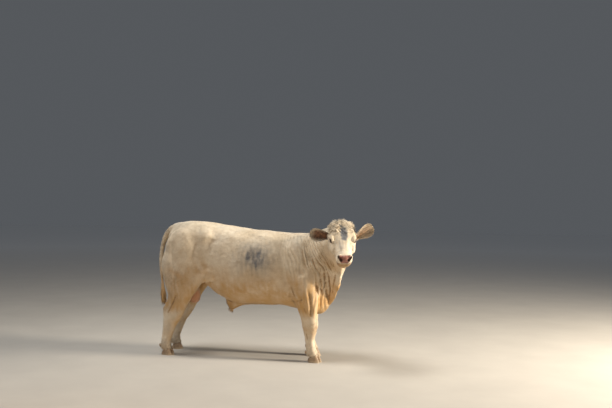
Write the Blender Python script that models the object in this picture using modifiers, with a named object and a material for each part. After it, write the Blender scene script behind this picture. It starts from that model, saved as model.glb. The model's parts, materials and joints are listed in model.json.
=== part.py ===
"""A Charolais bull, standing, its head turned to its right. Metres, +Z up, +X from the tail towards the chest.

The flesh is modelled whole from lofted keels and muscle masses, blended, and then parted with thin cuts into
torso, neck, head, muzzle, tail and legs. The bull is worked out in a frame whose X = 0 lies under the loin, and
at the end everything is moved so that the origin lies under the middle of its bounding box.
"""
import math

import bmesh
import bpy
import numpy as np
from mathutils import Matrix, Vector

# Driving dimensions of the animal
WITHERS_HEIGHT = 1.362
RUMP_HEIGHT = 1.474
BELLY_HEIGHT = 0.572
BARREL_HALF_WIDTH = 0.345
LEG_SIDE = 0.195
FAR_FORELEG_BACK = 0.080
FAR_HINDLEG_BACK = 0.040
TOE_OUT = math.radians(16)
TURN_STARTS = 0.78
TURN_RUN = 0.25
FOOT_X = {"fore": 0.607, "hind": -1.040}
FOOT_SCALE = {"fore": 1.0, "hind": 0.95}
DEWCLAW_BACK = {"fore": -0.086, "hind": -0.082}
DEWCLAW_SIDE = 0.026
DEWCLAW_HEIGHT = 0.098
DEWCLAW_RADII = (0.016, 0.013, 0.024)
DEWCLAW_LEAN = math.radians(-25)
CLAW_SIDE = 0.0305
SOLE_FLAT = 0.001
SCROTUM_MIDDLE = -0.807
HEAD_LENGTH = 0.50
EYE_RADIUS = 0.0205
LID_RADIUS = 0.0250
EYE_PLACE = (0.228, 0.110, -0.050)
EYE_LOOK = (0.42, 0.70, 0.57)
EYE_HALF_OPENING = (0.0190, 0.0130, 0.016)
EAR_LENGTH = 0.235
EAR_HALF_WIDTH = 0.070
EAR_WALL = 0.008
EAR_ROOT = {"left": (0.155, 0.116, -0.086), "right": (0.112, 0.090, -0.096)}
EAR_LIFT = {"left": math.radians(30), "right": math.radians(4)}
EAR_DROOP = {"left": 0.0, "right": 0.3}
EAR_OPENING_DROP = -0.15
EAR_SWEEP_BACK = 0.10
EAR_CURL_ROOT = math.radians(130)
EAR_CURL_TIP = math.radians(40)
EAR_ROOT_SHARE = 0.68
EAR_WIDEST = 0.55
EAR_TIP_STARTS = 0.58
EAR_ROWS = 11
EAR_COLUMNS = 7
MOUTH_BACK = 0.345
CURL_RUN = (-0.020, 0.172)
CURL_ROWS = 7
CURL_HALF_WIDTH = 0.098
CURL_SPACING = 0.030
CURL_RADII = (0.0205, 0.0185, 0.0130)
SWITCH_TOP = 0.800
SWITCH_LOCKS = 12
LOCK_LENGTH = 0.185
LOCK_HALF_WIDTH = 0.0155
LOCK_HALF_THICKNESS = 0.005
LOCK_TIP = 0.0008

# Where the head sits: the poll, the way the face looks, and how far the nose points down
POLL = Vector((0.916, -0.416, 1.502))
HEAD_TURN = math.radians(16.5)
NOSE_DROP = math.radians(43.5)

# How the shapes are worked out
GAP = 0.0003
VOXEL = 0.0075
BODY_BLEND = 0.034
NECK_BLEND = 0.009
HEAD_BLEND = 0.005
LEG_BLEND = 0.006
HEAD_KEEPS = 0.0005
HEAD_MIDDLE = (0.20, 0, -0.13)
HEAD_RADIUS = 0.27
HEAD_FADE = 0.16
NECK_STARTS = 0.66
NECK_FADE = 0.20
LEG_TOP = 0.45
LEG_FADE = 0.25
TAIL_STARTS = 1.20
TAIL_FADE = 0.08
FINE_RADIUS = 0.34
LOFT_SIDES = 40
FLESH_TRIANGLES = 6340
SHARP_EDGE = math.radians(50)
SEED = 11


def clear_scene():
    """Removes every object of the scene."""
    for old in list(bpy.data.objects):
        bpy.data.objects.remove(old, do_unlink=True)


def head_frame():
    """The head's own axes, from the poll: along the nose, to its left, and out of the forehead, as columns."""
    level = Vector((math.sin(HEAD_TURN), -math.cos(HEAD_TURN), 0.0))
    nose = level * math.cos(NOSE_DROP) - Vector((0, 0, math.sin(NOSE_DROP)))
    brow = level * math.sin(NOSE_DROP) + Vector((0, 0, math.cos(NOSE_DROP)))
    left = brow.cross(nose)
    frame = Matrix((nose, left, brow)).transposed().to_4x4()
    frame.translation = POLL
    return frame


HEAD = head_frame()


def on_head(along, left, out):
    """A point given along the nose, to the head's left and out of the forehead."""
    return HEAD @ Vector((along, left, out))


def smooth_rows(rows, steps):
    """Rows of numbers passed through by a Catmull-Rom curve and read at even steps."""
    rows = np.asarray(rows, dtype=float)
    last = len(rows) - 1
    place = np.linspace(0, last, steps)
    first = np.clip(place.astype(int), 0, last - 1)
    t = (place - first)[:, None]
    before = rows[np.clip(first - 1, 0, last)]
    start = rows[first]
    end = rows[first + 1]
    after = rows[np.clip(first + 2, 0, last)]
    pull_in = (end - before) / 2
    pull_out = (after - start) / 2
    return (
        (2 * t**3 - 3 * t**2 + 1) * start
        + (t**3 - 2 * t**2 + t) * pull_in
        + (3 * t**2 - 2 * t**3) * end
        + (t**3 - t**2) * pull_out
    )


def closed_tube(rings):
    """The points and faces of a tube through rings of points, with a flat cap on each end."""
    count, sides, _ = rings.shape
    across = np.arange(sides)
    beside = (across + 1) % sides
    faces = []
    for ring in range(count - 1):
        low = ring * sides
        high = low + sides
        faces += np.stack([low + across, low + beside, high + beside, high + across], axis=1).tolist()
    faces.append(across[::-1].tolist())
    faces.append(((count - 1) * sides + across).tolist())
    return rings.reshape(-1, 3), faces


def keel_rings(rows, steps, sides=LOFT_SIDES):
    """Rings of a body that runs between an upper and a lower edge.

    A row holds the upper point, the lower point, the half width, how far down the width is greatest, and the
    roundness above and below there: 2 is an ellipse, more is boxier, 1 is a straight wedge, less is hollow.
    """
    fine = smooth_rows(rows, steps)
    upper = fine[:, 0:3]
    lower = fine[:, 3:6]
    half_width, widest, round_up, round_low = (fine[:, 6 + k][:, None] for k in range(4))
    run = np.gradient((upper + lower) / 2, axis=0)
    side = np.cross(run, upper - lower)
    side /= np.linalg.norm(side, axis=1)[:, None]
    angle = np.linspace(0, 2 * math.pi, sides, endpoint=False)[None, :]
    rise = np.cos(angle)
    spread = np.sin(angle)
    power = np.where(rise > 0, round_up, round_low)
    reach = np.abs(rise) ** (2 / power)
    down = np.where(rise > 0, widest * (1 - reach), widest + (1 - widest) * reach)
    out = half_width * np.sign(spread) * np.abs(spread) ** (2 / power)
    return upper[:, None, :] + down[:, :, None] * (lower - upper)[:, None, :] + out[:, :, None] * side[:, None, :]


def mesh_object(name, points, faces):
    """A new object from points and faces, with its faces turned outwards."""
    mesh = bpy.data.meshes.new(name)
    mesh.from_pydata([tuple(point) for point in points], [], faces)
    shape = bmesh.new()
    shape.from_mesh(mesh)
    bmesh.ops.recalc_face_normals(shape, faces=shape.faces)
    shape.to_mesh(mesh)
    shape.free()
    obj = bpy.data.objects.new(name, mesh)
    bpy.context.scene.collection.objects.link(obj)
    return obj


def keel(name, rows, steps=40, sides=LOFT_SIDES):
    """A closed keel loft as an object."""
    return mesh_object(name, *closed_tube(keel_rings(rows, steps, sides)))


def ball(name, centre, radii, turn=Matrix.Identity(4), segments=32, rings=20):
    """An ellipsoid, turned about its own centre."""
    mesh = bpy.data.meshes.new(name)
    shape = bmesh.new()
    bmesh.ops.create_uvsphere(shape, u_segments=segments, v_segments=rings, radius=1.0)
    stretch = Matrix.Diagonal((*radii, 1.0))
    bmesh.ops.transform(shape, matrix=Matrix.Translation(centre) @ turn @ stretch, verts=shape.verts)
    shape.to_mesh(mesh)
    shape.free()
    obj = bpy.data.objects.new(name, mesh)
    bpy.context.scene.collection.objects.link(obj)
    return obj


def head_ball(name, place, radii, segments=24, rings=16):
    """An ellipsoid given in the head's own axes."""
    turn = HEAD.to_3x3().to_4x4()
    return ball(name, on_head(*place), radii, turn, segments, rings)


def prism(name, outline, axis, low, high):
    """A solid whose outline lies across one axis: its points are given in the other two, in X, Y, Z order."""
    flat = [list(point) for point in outline]
    rings = np.array([[point[:axis] + [end] + point[axis:] for point in flat] for end in (low, high)])
    return mesh_object(name, *closed_tube(rings))


def head_prism(name, outline, low, high):
    """A prism across the head, its outline given along the nose and out of the forehead."""
    cutter = prism(name, outline, 1, low, high)
    cutter.data.transform(HEAD)
    return cutter


def applied(obj):
    """Replaces an object's mesh with the one that its modifiers give."""
    bpy.context.view_layer.update()
    graph = bpy.context.evaluated_depsgraph_get()
    mesh = bpy.data.meshes.new_from_object(obj.evaluated_get(graph))
    obj.modifiers.clear()
    obj.data = mesh
    return obj


def remove(objects):
    """Deletes helper objects."""
    for obj in objects:
        bpy.data.objects.remove(obj, do_unlink=True)


def joined(name, objects):
    """One object that holds the meshes of several, which may still cross one another."""
    shape = bmesh.new()
    for obj in objects:
        shape.from_mesh(obj.data)
    mesh = bpy.data.meshes.new(name)
    shape.to_mesh(mesh)
    shape.free()
    remove(objects)
    whole = bpy.data.objects.new(name, mesh)
    bpy.context.scene.collection.objects.link(whole)
    return whole


def boolean(obj, other, operation, solver="EXACT"):
    """Cuts, joins or crosses one object with another, and keeps the other."""
    step = obj.modifiers.new(operation.lower(), "BOOLEAN")
    step.operation = operation
    step.object = other
    step.solver = solver
    return applied(obj)


def union_of_collection(obj, others):
    """Joins many closed pieces to an object in one union, and deletes them."""
    group = bpy.data.collections.new(obj.name + "_pieces")
    bpy.context.scene.collection.children.link(group)
    for other in others:
        bpy.context.scene.collection.objects.unlink(other)
        group.objects.link(other)
    step = obj.modifiers.new("pieces", "BOOLEAN")
    step.operation = "UNION"
    step.operand_type = "COLLECTION"
    step.collection = group
    step.solver = "MANIFOLD"
    applied(obj)
    remove(list(group.objects))
    bpy.data.collections.remove(group)
    return keep_largest(obj)


def keep_largest(obj):
    """Keeps only the closed surface of an object that spans the largest box."""
    shape = bmesh.new()
    shape.from_mesh(obj.data)
    left = set(shape.verts)
    islands = []
    while left:
        island = set()
        edge_of_island = [left.pop()]
        while edge_of_island:
            vert = edge_of_island.pop()
            island.add(vert)
            for edge in vert.link_edges:
                other = edge.other_vert(vert)
                if other in left:
                    left.remove(other)
                    edge_of_island.append(other)
        islands.append(island)
    islands.sort(key=box_diagonal)
    for island in islands[:-1]:
        bmesh.ops.delete(shape, geom=list(island), context="VERTS")
    shape.to_mesh(obj.data)
    shape.free()
    return obj


def box_diagonal(verts):
    """The length of the diagonal of the box round some vertices."""
    points = np.array([vert.co for vert in verts])
    return float(np.linalg.norm(points.max(axis=0) - points.min(axis=0)))


def triangulated(obj):
    """Splits a piece's faces into triangles, so that a copy that is moved a little bends along the same edges."""
    shape = bmesh.new()
    shape.from_mesh(obj.data)
    bmesh.ops.triangulate(shape, faces=shape.faces)
    shape.to_mesh(obj.data)
    shape.free()
    return obj


def grown(obj, distance=GAP):
    """A copy of a piece whose every face lies further out by at least a distance."""
    copy = obj.copy()
    copy.data = obj.data.copy()
    bpy.context.scene.collection.objects.link(copy)
    shape = bmesh.new()
    shape.from_mesh(copy.data)
    shape.normal_update()
    moves = [vert.normal * distance * 1.15 * min(3.0, vert.calc_shell_factor()) for vert in shape.verts]
    for vert, move in zip(shape.verts, moves):
        vert.co += move
    shape.to_mesh(copy.data)
    shape.free()
    return copy


def part_off(name, flesh, region):
    """Takes the flesh inside a region as a new object, and cuts it and a thin gap round it from the rest."""
    piece = flesh.copy()
    piece.data = flesh.data.copy()
    piece.name = name
    bpy.context.scene.collection.objects.link(piece)
    boolean(piece, region, "INTERSECT", "MANIFOLD")
    keep_largest(piece)
    wider = grown(region, GAP)
    boolean(flesh, wider, "DIFFERENCE", "MANIFOLD")
    remove([wider, region])
    keep_largest(flesh)
    return piece


# Trunk: x, top, bottom, half width, place of the greatest width, roundness above and below
TRUNK = [
    (-1.085, 1.365, 1.210, 0.060, 0.50, 2.0, 2.0),
    (-1.035, RUMP_HEIGHT - 0.052, 1.080, 0.145, 0.45, 2.0, 2.0),
    (-0.950, RUMP_HEIGHT - 0.016, 0.960, 0.215, 0.42, 2.2, 2.0),
    (-0.830, RUMP_HEIGHT, 0.880, 0.262, 0.40, 2.4, 2.0),
    (-0.700, RUMP_HEIGHT - 0.004, 0.800, 0.280, 0.40, 2.6, 2.0),
    (-0.560, RUMP_HEIGHT - 0.024, 0.690, 0.284, 0.43, 2.6, 2.0),
    (-0.420, 1.434, 0.610, 0.298, 0.47, 2.5, 2.0),
    (-0.250, 1.410, BELLY_HEIGHT, 0.327, 0.50, 2.3, 2.1),
    (-0.050, 1.390, BELLY_HEIGHT, BARREL_HALF_WIDTH, 0.51, 2.2, 2.1),
    (0.130, 1.372, BELLY_HEIGHT, BARREL_HALF_WIDTH - 0.008, 0.51, 2.1, 2.1),
    (0.280, WITHERS_HEIGHT, 0.560, 0.306, 0.51, 2.0, 2.1),
    (0.420, WITHERS_HEIGHT, 0.525, 0.276, 0.52, 1.9, 2.1),
    (0.540, WITHERS_HEIGHT - 0.012, 0.492, 0.240, 0.54, 1.9, 2.0),
    (0.640, 1.240, 0.492, 0.190, 0.56, 2.0, 1.9),
    (0.715, 1.020, 0.555, 0.115, 0.52, 2.0, 1.8),
    (0.745, 0.900, 0.660, 0.040, 0.50, 2.0, 2.0),
]

# Neck: crest point, throat point, half width, place of the greatest width, roundness above and below
NECK = [
    ((0.330, 0.000, 1.335), (0.500, 0.000, 0.545), 0.225, 0.40, 1.9, 1.7),
    ((0.480, -0.015, 1.362), (0.680, -0.005, 0.545), 0.218, 0.40, 1.9, 1.40),
    ((0.600, -0.075, 1.388), (0.785, -0.050, 0.640), 0.194, 0.38, 1.9, 1.20),
    ((0.710, -0.165, 1.424), (0.845, -0.140, 0.775), 0.168, 0.37, 1.9, 1.15),
    ((0.800, -0.262, 1.458), (0.888, -0.245, 0.915), 0.150, 0.38, 1.9, 1.25),
    ((0.862, -0.335, 1.480), (0.915, -0.345, 1.050), 0.135, 0.42, 2.0, 1.5),
    ((0.900, -0.385, 1.485), (0.925, -0.425, 1.140), 0.116, 0.46, 2.0, 1.8),
]

# Head: distance along the nose, top, bottom, half width, place of the greatest width, roundness above and below
SKULL = [
    (-0.048, -0.040, -0.170, 0.062, 0.45, 2.0, 2.0),
    (-0.025, -0.010, -0.205, 0.102, 0.40, 2.4, 2.0),
    (0.020, 0.006, -0.235, 0.125, 0.36, 2.7, 2.0),
    (0.075, 0.012, -0.260, 0.134, 0.34, 2.9, 2.0),
    (0.135, 0.012, -0.275, 0.140, 0.32, 3.0, 2.0),
    (0.190, 0.004, -0.272, 0.142, 0.36, 3.0, 2.1),
    (0.245, -0.008, -0.256, 0.131, 0.42, 2.6, 2.2),
    (0.300, -0.016, -0.228, 0.107, 0.46, 2.3, 2.3),
    (0.355, -0.018, -0.204, 0.086, 0.48, 2.3, 2.4),
    (0.405, -0.016, -0.194, 0.076, 0.47, 2.5, 2.4),
    (0.440, -0.016, -0.190, 0.077, 0.44, 2.6, 2.3),
    (0.468, -0.022, -0.184, 0.077, 0.42, 2.6, 2.2),
    (0.490, -0.040, -0.158, 0.067, 0.42, 2.4, 2.0),
    (HEAD_LENGTH, -0.062, -0.132, 0.043, 0.45, 2.0, 2.0),
]

# Near foreleg: height, middle, half depth, half width, place of the greatest width, roundness in front and behind
FORELEG = [
    (0.920, 0.470, 0.130, 0.080, 0.45, 2.0, 2.0),
    (0.800, 0.478, 0.140, 0.084, 0.45, 2.0, 2.0),
    (0.700, 0.500, 0.142, 0.078, 0.42, 2.1, 1.8),
    (0.620, 0.512, 0.132, 0.070, 0.42, 2.1, 1.8),
    (0.550, 0.522, 0.118, 0.064, 0.44, 2.2, 1.9),
    (0.490, 0.534, 0.102, 0.062, 0.45, 2.3, 2.0),
    (0.430, 0.548, 0.093, 0.070, 0.45, 2.6, 2.0),
    (0.380, 0.551, 0.090, 0.068, 0.45, 2.6, 2.0),
    (0.335, 0.553, 0.079, 0.058, 0.45, 2.4, 2.0),
    (0.280, 0.554, 0.064, 0.047, 0.48, 2.3, 2.2),
    (0.230, 0.552, 0.054, 0.042, 0.48, 2.3, 2.2),
    (0.180, 0.559, 0.053, 0.042, 0.48, 2.3, 2.2),
    (0.135, 0.568, 0.059, 0.049, 0.48, 2.3, 2.2),
    (0.100, 0.578, 0.063, 0.055, 0.50, 2.3, 2.2),
    (0.078, 0.585, 0.060, 0.055, 0.50, 2.3, 2.2),
    (0.062, 0.591, 0.050, 0.046, 0.50, 2.3, 2.4),
    (0.046, 0.596, 0.034, 0.032, 0.50, 2.3, 2.4),
]

# Near hind leg: the same numbers
HINDLEG = [
    (0.980, -0.905, 0.170, 0.100, 0.45, 2.0, 2.0),
    (0.880, -0.885, 0.215, 0.104, 0.42, 2.0, 1.9),
    (0.800, -0.877, 0.215, 0.102, 0.40, 1.9, 1.8),
    (0.730, -0.888, 0.190, 0.094, 0.40, 1.9, 1.7),
    (0.665, -0.903, 0.155, 0.082, 0.38, 1.9, 1.6),
    (0.605, -0.926, 0.146, 0.070, 0.34, 2.0, 1.3),
    (0.550, -0.957, 0.149, 0.061, 0.32, 2.0, 1.2),
    (0.500, -0.980, 0.149, 0.058, 0.34, 2.1, 1.4),
    (0.450, -0.990, 0.134, 0.060, 0.38, 2.2, 1.7),
    (0.390, -1.004, 0.112, 0.057, 0.42, 2.2, 1.9),
    (0.330, -1.025, 0.089, 0.050, 0.44, 2.2, 2.0),
    (0.270, -1.038, 0.076, 0.046, 0.46, 2.2, 2.1),
    (0.210, -1.052, 0.066, 0.044, 0.48, 2.2, 2.2),
    (0.155, -1.063, 0.058, 0.048, 0.48, 2.2, 2.2),
    (0.112, -1.064, 0.062, 0.054, 0.50, 2.2, 2.2),
    (0.078, -1.056, 0.058, 0.053, 0.50, 2.2, 2.2),
    (0.060, -1.051, 0.048, 0.044, 0.50, 2.2, 2.4),
    (0.044, -1.047, 0.032, 0.030, 0.50, 2.2, 2.4),
]

# Tail: outer edge x and z, inner edge x and z, half width
TAIL = [
    (-0.960, 1.462, -0.950, 1.360, 0.050),
    (-1.020, 1.456, -1.000, 1.360, 0.047),
    (-1.080, 1.432, -1.035, 1.345, 0.040),
    (-1.135, 1.388, -1.075, 1.325, 0.034),
    (-1.182, 1.310, -1.118, 1.280, 0.030),
    (-1.213, 1.215, -1.153, 1.205, 0.027),
    (-1.228, 1.110, -1.175, 1.108, 0.025),
    (-1.231, 1.000, -1.184, 1.000, 0.023),
    (-1.225, 0.890, -1.182, 0.892, 0.021),
    (-1.212, 0.790, -1.174, 0.794, 0.019),
    (-1.200, 0.725, -1.170, 0.728, 0.015),
]

# Sheath: x, upper height, lower height, half width
SHEATH = [
    (-0.060, 0.640, 0.590, 0.030),
    (-0.150, 0.640, 0.562, 0.042),
    (-0.230, 0.640, 0.548, 0.050),
    (-0.300, 0.640, 0.522, 0.046),
    (-0.350, 0.640, 0.497, 0.036),
    (-0.378, 0.640, 0.493, 0.028),
    (-0.405, 0.640, 0.520, 0.026),
    (-0.440, 0.660, 0.575, 0.020),
]

# Scrotum: height, front, rear, half width
SCROTUM = [
    (0.900, -0.785, -0.835, 0.022),
    (0.830, -0.780, -0.840, 0.028),
    (0.760, -0.768, -0.850, 0.038),
    (0.705, -0.752, -0.863, 0.053),
    (0.655, -0.741, -0.873, 0.064),
    (0.610, -0.740, -0.874, 0.066),
    (0.578, -0.753, -0.862, 0.056),
    (0.560, -0.775, -0.843, 0.038),
    (0.553, -0.797, -0.823, 0.016),
]

# Claw, from the sole up: front, front height, rear, rear height, half width, roundness in front and behind
CLAW = [
    (0.070, 0.000, -0.062, 0.000, 0.0275, 1.7, 2.6),
    (0.068, 0.010, -0.064, 0.008, 0.0285, 1.7, 2.6),
    (0.058, 0.036, -0.063, 0.024, 0.0275, 1.8, 2.5),
    (0.044, 0.064, -0.058, 0.040, 0.0250, 1.9, 2.4),
    (0.032, 0.079, -0.048, 0.050, 0.0200, 2.0, 2.2),
    (0.022, 0.084, -0.036, 0.057, 0.0130, 2.0, 2.0),
]

# Line of the mouth on the right half of the muzzle: along the nose, to the side, out of the forehead
MOUTH = [
    (0.345, 0.090, -0.126),
    (0.400, 0.092, -0.116),
    (0.445, 0.092, -0.106),
    (0.488, 0.074, -0.097),
    (0.515, 0.034, -0.092),
    (0.522, 0.000, -0.091),
]
MOUTH_DEPTH = 0.72
MOUTH_HALF_OPENING = 0.0022

# Nostril: the round hole in front and the slit up and back from it, as places in the head's own axes, and radii
NOSTRIL = [
    ((0.482, 0.041, -0.040), (0.024, 0.014, 0.015)),
    ((0.467, 0.058, -0.027), (0.020, 0.011, 0.008)),
]

# Folds down the side of the neck: the share of the neck's length that each has reached at these shares of its depth
FOLD_DEPTHS = (0.10, 0.20, 0.38, 0.60, 0.78, 0.90)
NECK_FOLDS = [
    (0.13, 0.15, 0.18, 0.22, 0.23, 0.21),
    (0.21, 0.24, 0.29, 0.32, 0.33, 0.31),
    (0.27, 0.34, 0.42, 0.46, 0.45, 0.37),
    (0.34, 0.43, 0.51, 0.56, 0.55, 0.46),
    (0.43, 0.51, 0.59, 0.64, 0.64, 0.54),
    (0.54, 0.61, 0.69, 0.73, 0.72, 0.62),
    (0.66, 0.72, 0.79, 0.82, 0.81, 0.72),
]
FOLD_HALF_WIDTH = 0.013
FOLD_RISE = 0.010


def trunk():
    """The barrel, loin and rump."""
    rows = [((x, 0, top), (x, 0, low), *rest) for x, top, low, *rest in TRUNK]
    return keel("trunk", [(*upper, *lower, *rest) for upper, lower, *rest in rows], 90, 56)


def neck_rows():
    """The neck's rows as plain numbers."""
    return [(*crest, *throat, *rest) for crest, throat, *rest in NECK]


def on_neck(along, down, side):
    """A point on the skin of the neck, as shares of its length and depth, on the right (-1) or left (1) side."""
    fine = smooth_rows(neck_rows(), 201)
    upper, lower = fine[:, 0:3], fine[:, 3:6]
    run = np.gradient((upper + lower) / 2, axis=0)
    across = np.cross(run, upper - lower)
    across /= np.linalg.norm(across, axis=1)[:, None]
    row = int(round(along * 200))
    half_width, widest, round_up, round_low = fine[row, 6:10]
    power = round_up if down < widest else round_low
    share = 1 - down / widest if down < widest else (down - widest) / (1 - widest)
    out = half_width * (1 - share**power) ** (1 / power)
    middle = upper[row] + down * (lower[row] - upper[row])
    outwards = across[row] if (across[row][1] > 0) == (side > 0) else -across[row]
    return middle + out * outwards, outwards


def neck_fold(fold, side):
    """One ridge of loose skin down the side of the neck, as a low keel sunk into it."""
    rows = []
    for share in np.linspace(0, 1, 11):
        down = FOLD_DEPTHS[0] + (FOLD_DEPTHS[-1] - FOLD_DEPTHS[0]) * share
        point, outwards = on_neck(np.interp(down, FOLD_DEPTHS, fold), down, side)
        swell = math.sin(math.pi * min(1.0, 0.12 + 0.82 * share)) ** 0.5
        peak = point + outwards * FOLD_RISE * swell
        root = point - outwards * FOLD_RISE
        rows.append((*peak, *root, FOLD_HALF_WIDTH * swell, 0.6, 1.6, 2.0))
    return keel("neck_fold", rows, 24, 12)


def neck():
    """The neck with its crest and dewlap, and the folds of skin down both its sides."""
    pieces = [keel("neck_form", neck_rows(), 50, 48)]
    for side in (-1, 1):
        pieces += [neck_fold(fold, side) for fold in NECK_FOLDS]
    return pieces


# Masses on each side of the head, and on its middle line: place in the head's own axes, and radii
HEAD_SIDE_MASSES = {
    "cheek": ((0.175, 0.100, -0.165), (0.110, 0.044, 0.090)),
    "brow": ((0.206, 0.112, -0.030), (0.052, 0.028, 0.026)),
    "under_eye": ((0.264, 0.098, -0.090), (0.090, 0.032, 0.045)),
    "nostril_wing": ((0.456, 0.050, -0.042), (0.032, 0.032, 0.028)),
    "ear_root": ((0.122, 0.118, -0.088), (0.058, 0.036, 0.044)),
    "lip": ((0.432, 0.058, -0.090), (0.058, 0.028, 0.030)),
}
HEAD_MIDDLE_MASSES = {
    "nose_pad": ((0.468, 0.0, -0.050), (0.034, 0.052, 0.036)),
    "chin": ((0.442, 0.0, -0.152), (0.048, 0.050, 0.046)),
}


def skull():
    """The head from poll to muzzle, with cheeks, brows, nostril wings, lips and chin."""
    rows = [(*on_head(s, 0, top), *on_head(s, 0, low), *rest) for s, top, low, *rest in SKULL]
    pieces = [keel("skull", rows, 60, 48)]
    for side in (-1, 1):
        for name, ((along, aside, out), radii) in HEAD_SIDE_MASSES.items():
            pieces.append(head_ball(name, (along, side * aside, out), radii))
        pieces.append(head_ball("lid", eye_place(side), (LID_RADIUS,) * 3))
    for name, (place, radii) in HEAD_MIDDLE_MASSES.items():
        pieces.append(head_ball(name, place, radii))
    return pieces


def eye_place(side):
    """The middle of an eyeball in the head's own axes."""
    along, aside, out = EYE_PLACE
    return (along, side * aside, out)


def gaze(side):
    """The way an eye looks, in the head's own axes."""
    along, aside, out = EYE_LOOK
    return Vector((along, side * aside, out)).normalized()


def mirrored(side, y):
    """A side coordinate on the near side, which is -Y, or on the far side."""
    return y if side == "near" else -y


def leg_back(part, side):
    """How far back a leg stands compared with the near one."""
    if side == "near":
        return 0.0
    return FAR_FORELEG_BACK if part == "fore" else FAR_HINDLEG_BACK


def leg(part, rows, side):
    """A leg from the body down to the coronet, turned out from the elbow or stifle down."""
    full = []
    for height, middle, depth, *rest in rows:
        lower_share = min(1.0, max(0.0, (TURN_STARTS - height) / TURN_RUN))
        turn = TOE_OUT * lower_share
        x = middle - leg_back(part, side) * min(1.0, max(0.0, (1.0 - height) / 0.6))
        y = mirrored(side, -LEG_SIDE - 0.035 * max(0.0, height - 0.5))
        dx = depth * math.cos(turn)
        dy = mirrored(side, -depth * math.sin(turn))
        full.append((x + dx, y + dy, height, x - dx, y - dy, height, *rest))
    return keel(f"{part}leg_{side}", full, 90, 32)


def tail():
    """The tail from the tail head to the tip of its bones."""
    rows = [(ox, 0, oz, ix, 0, iz, wide, 0.5, 2.0, 2.0) for ox, oz, ix, iz, wide in TAIL]
    return keel("tail_form", rows, 60, 24)


def sheath():
    """The skin of the sheath under the belly."""
    rows = [(x, 0, up, x, 0, low, wide, 0.5, 2.0, 1.7) for x, up, low, wide in SHEATH]
    return keel("sheath_form", rows, 30, 24)


# Muscle masses of the near side: centre, radii, and the lean of the lower end in degrees
MUSCLES = {
    "haunch": ((-0.855, -0.185, 1.150), (0.235, 0.125, 0.250), 0),
    "ham": ((-0.950, -0.175, 0.980), (0.182, 0.130, 0.265), 0),
    "thigh": ((-0.830, -0.205, 0.960), (0.205, 0.112, 0.250), 8),
    "twist": ((-0.915, -0.080, 0.980), (0.150, 0.105, 0.190), 0),
    "stifle": ((-0.730, -0.208, 0.870), (0.105, 0.088, 0.150), 25),
    "flank": ((-0.620, -0.225, 0.915), (0.130, 0.045, 0.110), 20),
    "hook": ((-0.620, -0.190, 1.295), (0.140, 0.092, 0.105), 0),
    "pin": ((-1.030, -0.100, 1.290), (0.060, 0.055, 0.080), 0),
    "shoulder_blade": ((0.400, -0.150, 1.040), (0.170, 0.125, 0.270), -22),
    "neck_side": ((0.600, -0.100, 1.130), (0.160, 0.115, 0.200), 0),
    "breast": ((0.635, -0.100, 0.900), (0.115, 0.105, 0.190), 0),
    "upper_arm": ((0.545, -0.165, 0.930), (0.140, 0.110, 0.180), 0),
    "elbow": ((0.440, -0.200, 0.800), (0.125, 0.092, 0.165), 12),
    "forearm": ((0.505, -0.205, 0.660), (0.105, 0.074, 0.130), 0),
    "chest": ((0.590, -0.085, 0.760), (0.110, 0.115, 0.180), 0),
}
FAR_MUSCLE_BACK = {"stifle": 0.02, "elbow": 0.03, "forearm": 0.06, "ham": 0.01, "thigh": 0.01}


def muscle(name, side):
    """One muscle mass on one side."""
    (x, y, z), radii, lean = MUSCLES[name]
    back = FAR_MUSCLE_BACK.get(name, 0.0) if side == "far" else 0.0
    turn = Matrix.Rotation(math.radians(lean), 4, "Y")
    return ball(f"{name}_{side}", Vector((x - back, mirrored(side, y), z)), radii, turn)


def coordinates(obj):
    """The points of an object's mesh as an array."""
    points = np.empty(len(obj.data.vertices) * 3)
    obj.data.vertices.foreach_get("co", points)
    return points.reshape(-1, 3)


def weigh(obj, weights):
    """Gives an object one vertex group with these weights, and returns its name."""
    obj.vertex_groups.clear()
    group = obj.vertex_groups.new(name="weight")
    levels = np.round(weights, 2)
    for level in np.unique(levels):
        chosen = np.flatnonzero(levels == level).tolist()
        group.add(chosen, float(level), "REPLACE")
    return group.name


def blend_reach(points):
    """How far the flesh is smoothed at each point: least on the head, neck, tail and lower legs."""
    to_head = np.linalg.norm(points - np.array(on_head(*HEAD_MIDDLE)), axis=1)
    head = np.clip((to_head - HEAD_RADIUS) / HEAD_FADE, 0, 1)
    neck_side = np.clip((NECK_STARTS - points[:, 0]) / NECK_FADE, 0, 1)
    low = np.clip((points[:, 2] - LEG_TOP) / LEG_FADE, 0, 1)
    behind = np.clip((points[:, 0] + TAIL_STARTS) / TAIL_FADE, 0, 1)
    reach = HEAD_BLEND + (NECK_BLEND - HEAD_BLEND) * head + (BODY_BLEND - NECK_BLEND) * neck_side * head
    reach = np.minimum(reach, LEG_BLEND + (BODY_BLEND - LEG_BLEND) * low)
    return np.minimum(reach, LEG_BLEND + (BODY_BLEND - LEG_BLEND) * behind)


def blended(whole):
    """Fuses the crossing shapes into one skin and smooths it."""
    step = whole.modifiers.new("fuse", "REMESH")
    step.mode = "VOXEL"
    step.voxel_size = VOXEL
    applied(whole)
    strength = (blend_reach(coordinates(whole)) / BODY_BLEND) ** 2
    smooth = whole.modifiers.new("smooth", "SMOOTH")
    smooth.factor = 0.5
    smooth.iterations = int(round(4 * (BODY_BLEND / VOXEL) ** 2))
    smooth.vertex_group = weigh(whole, strength)
    return applied(whole)


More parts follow.
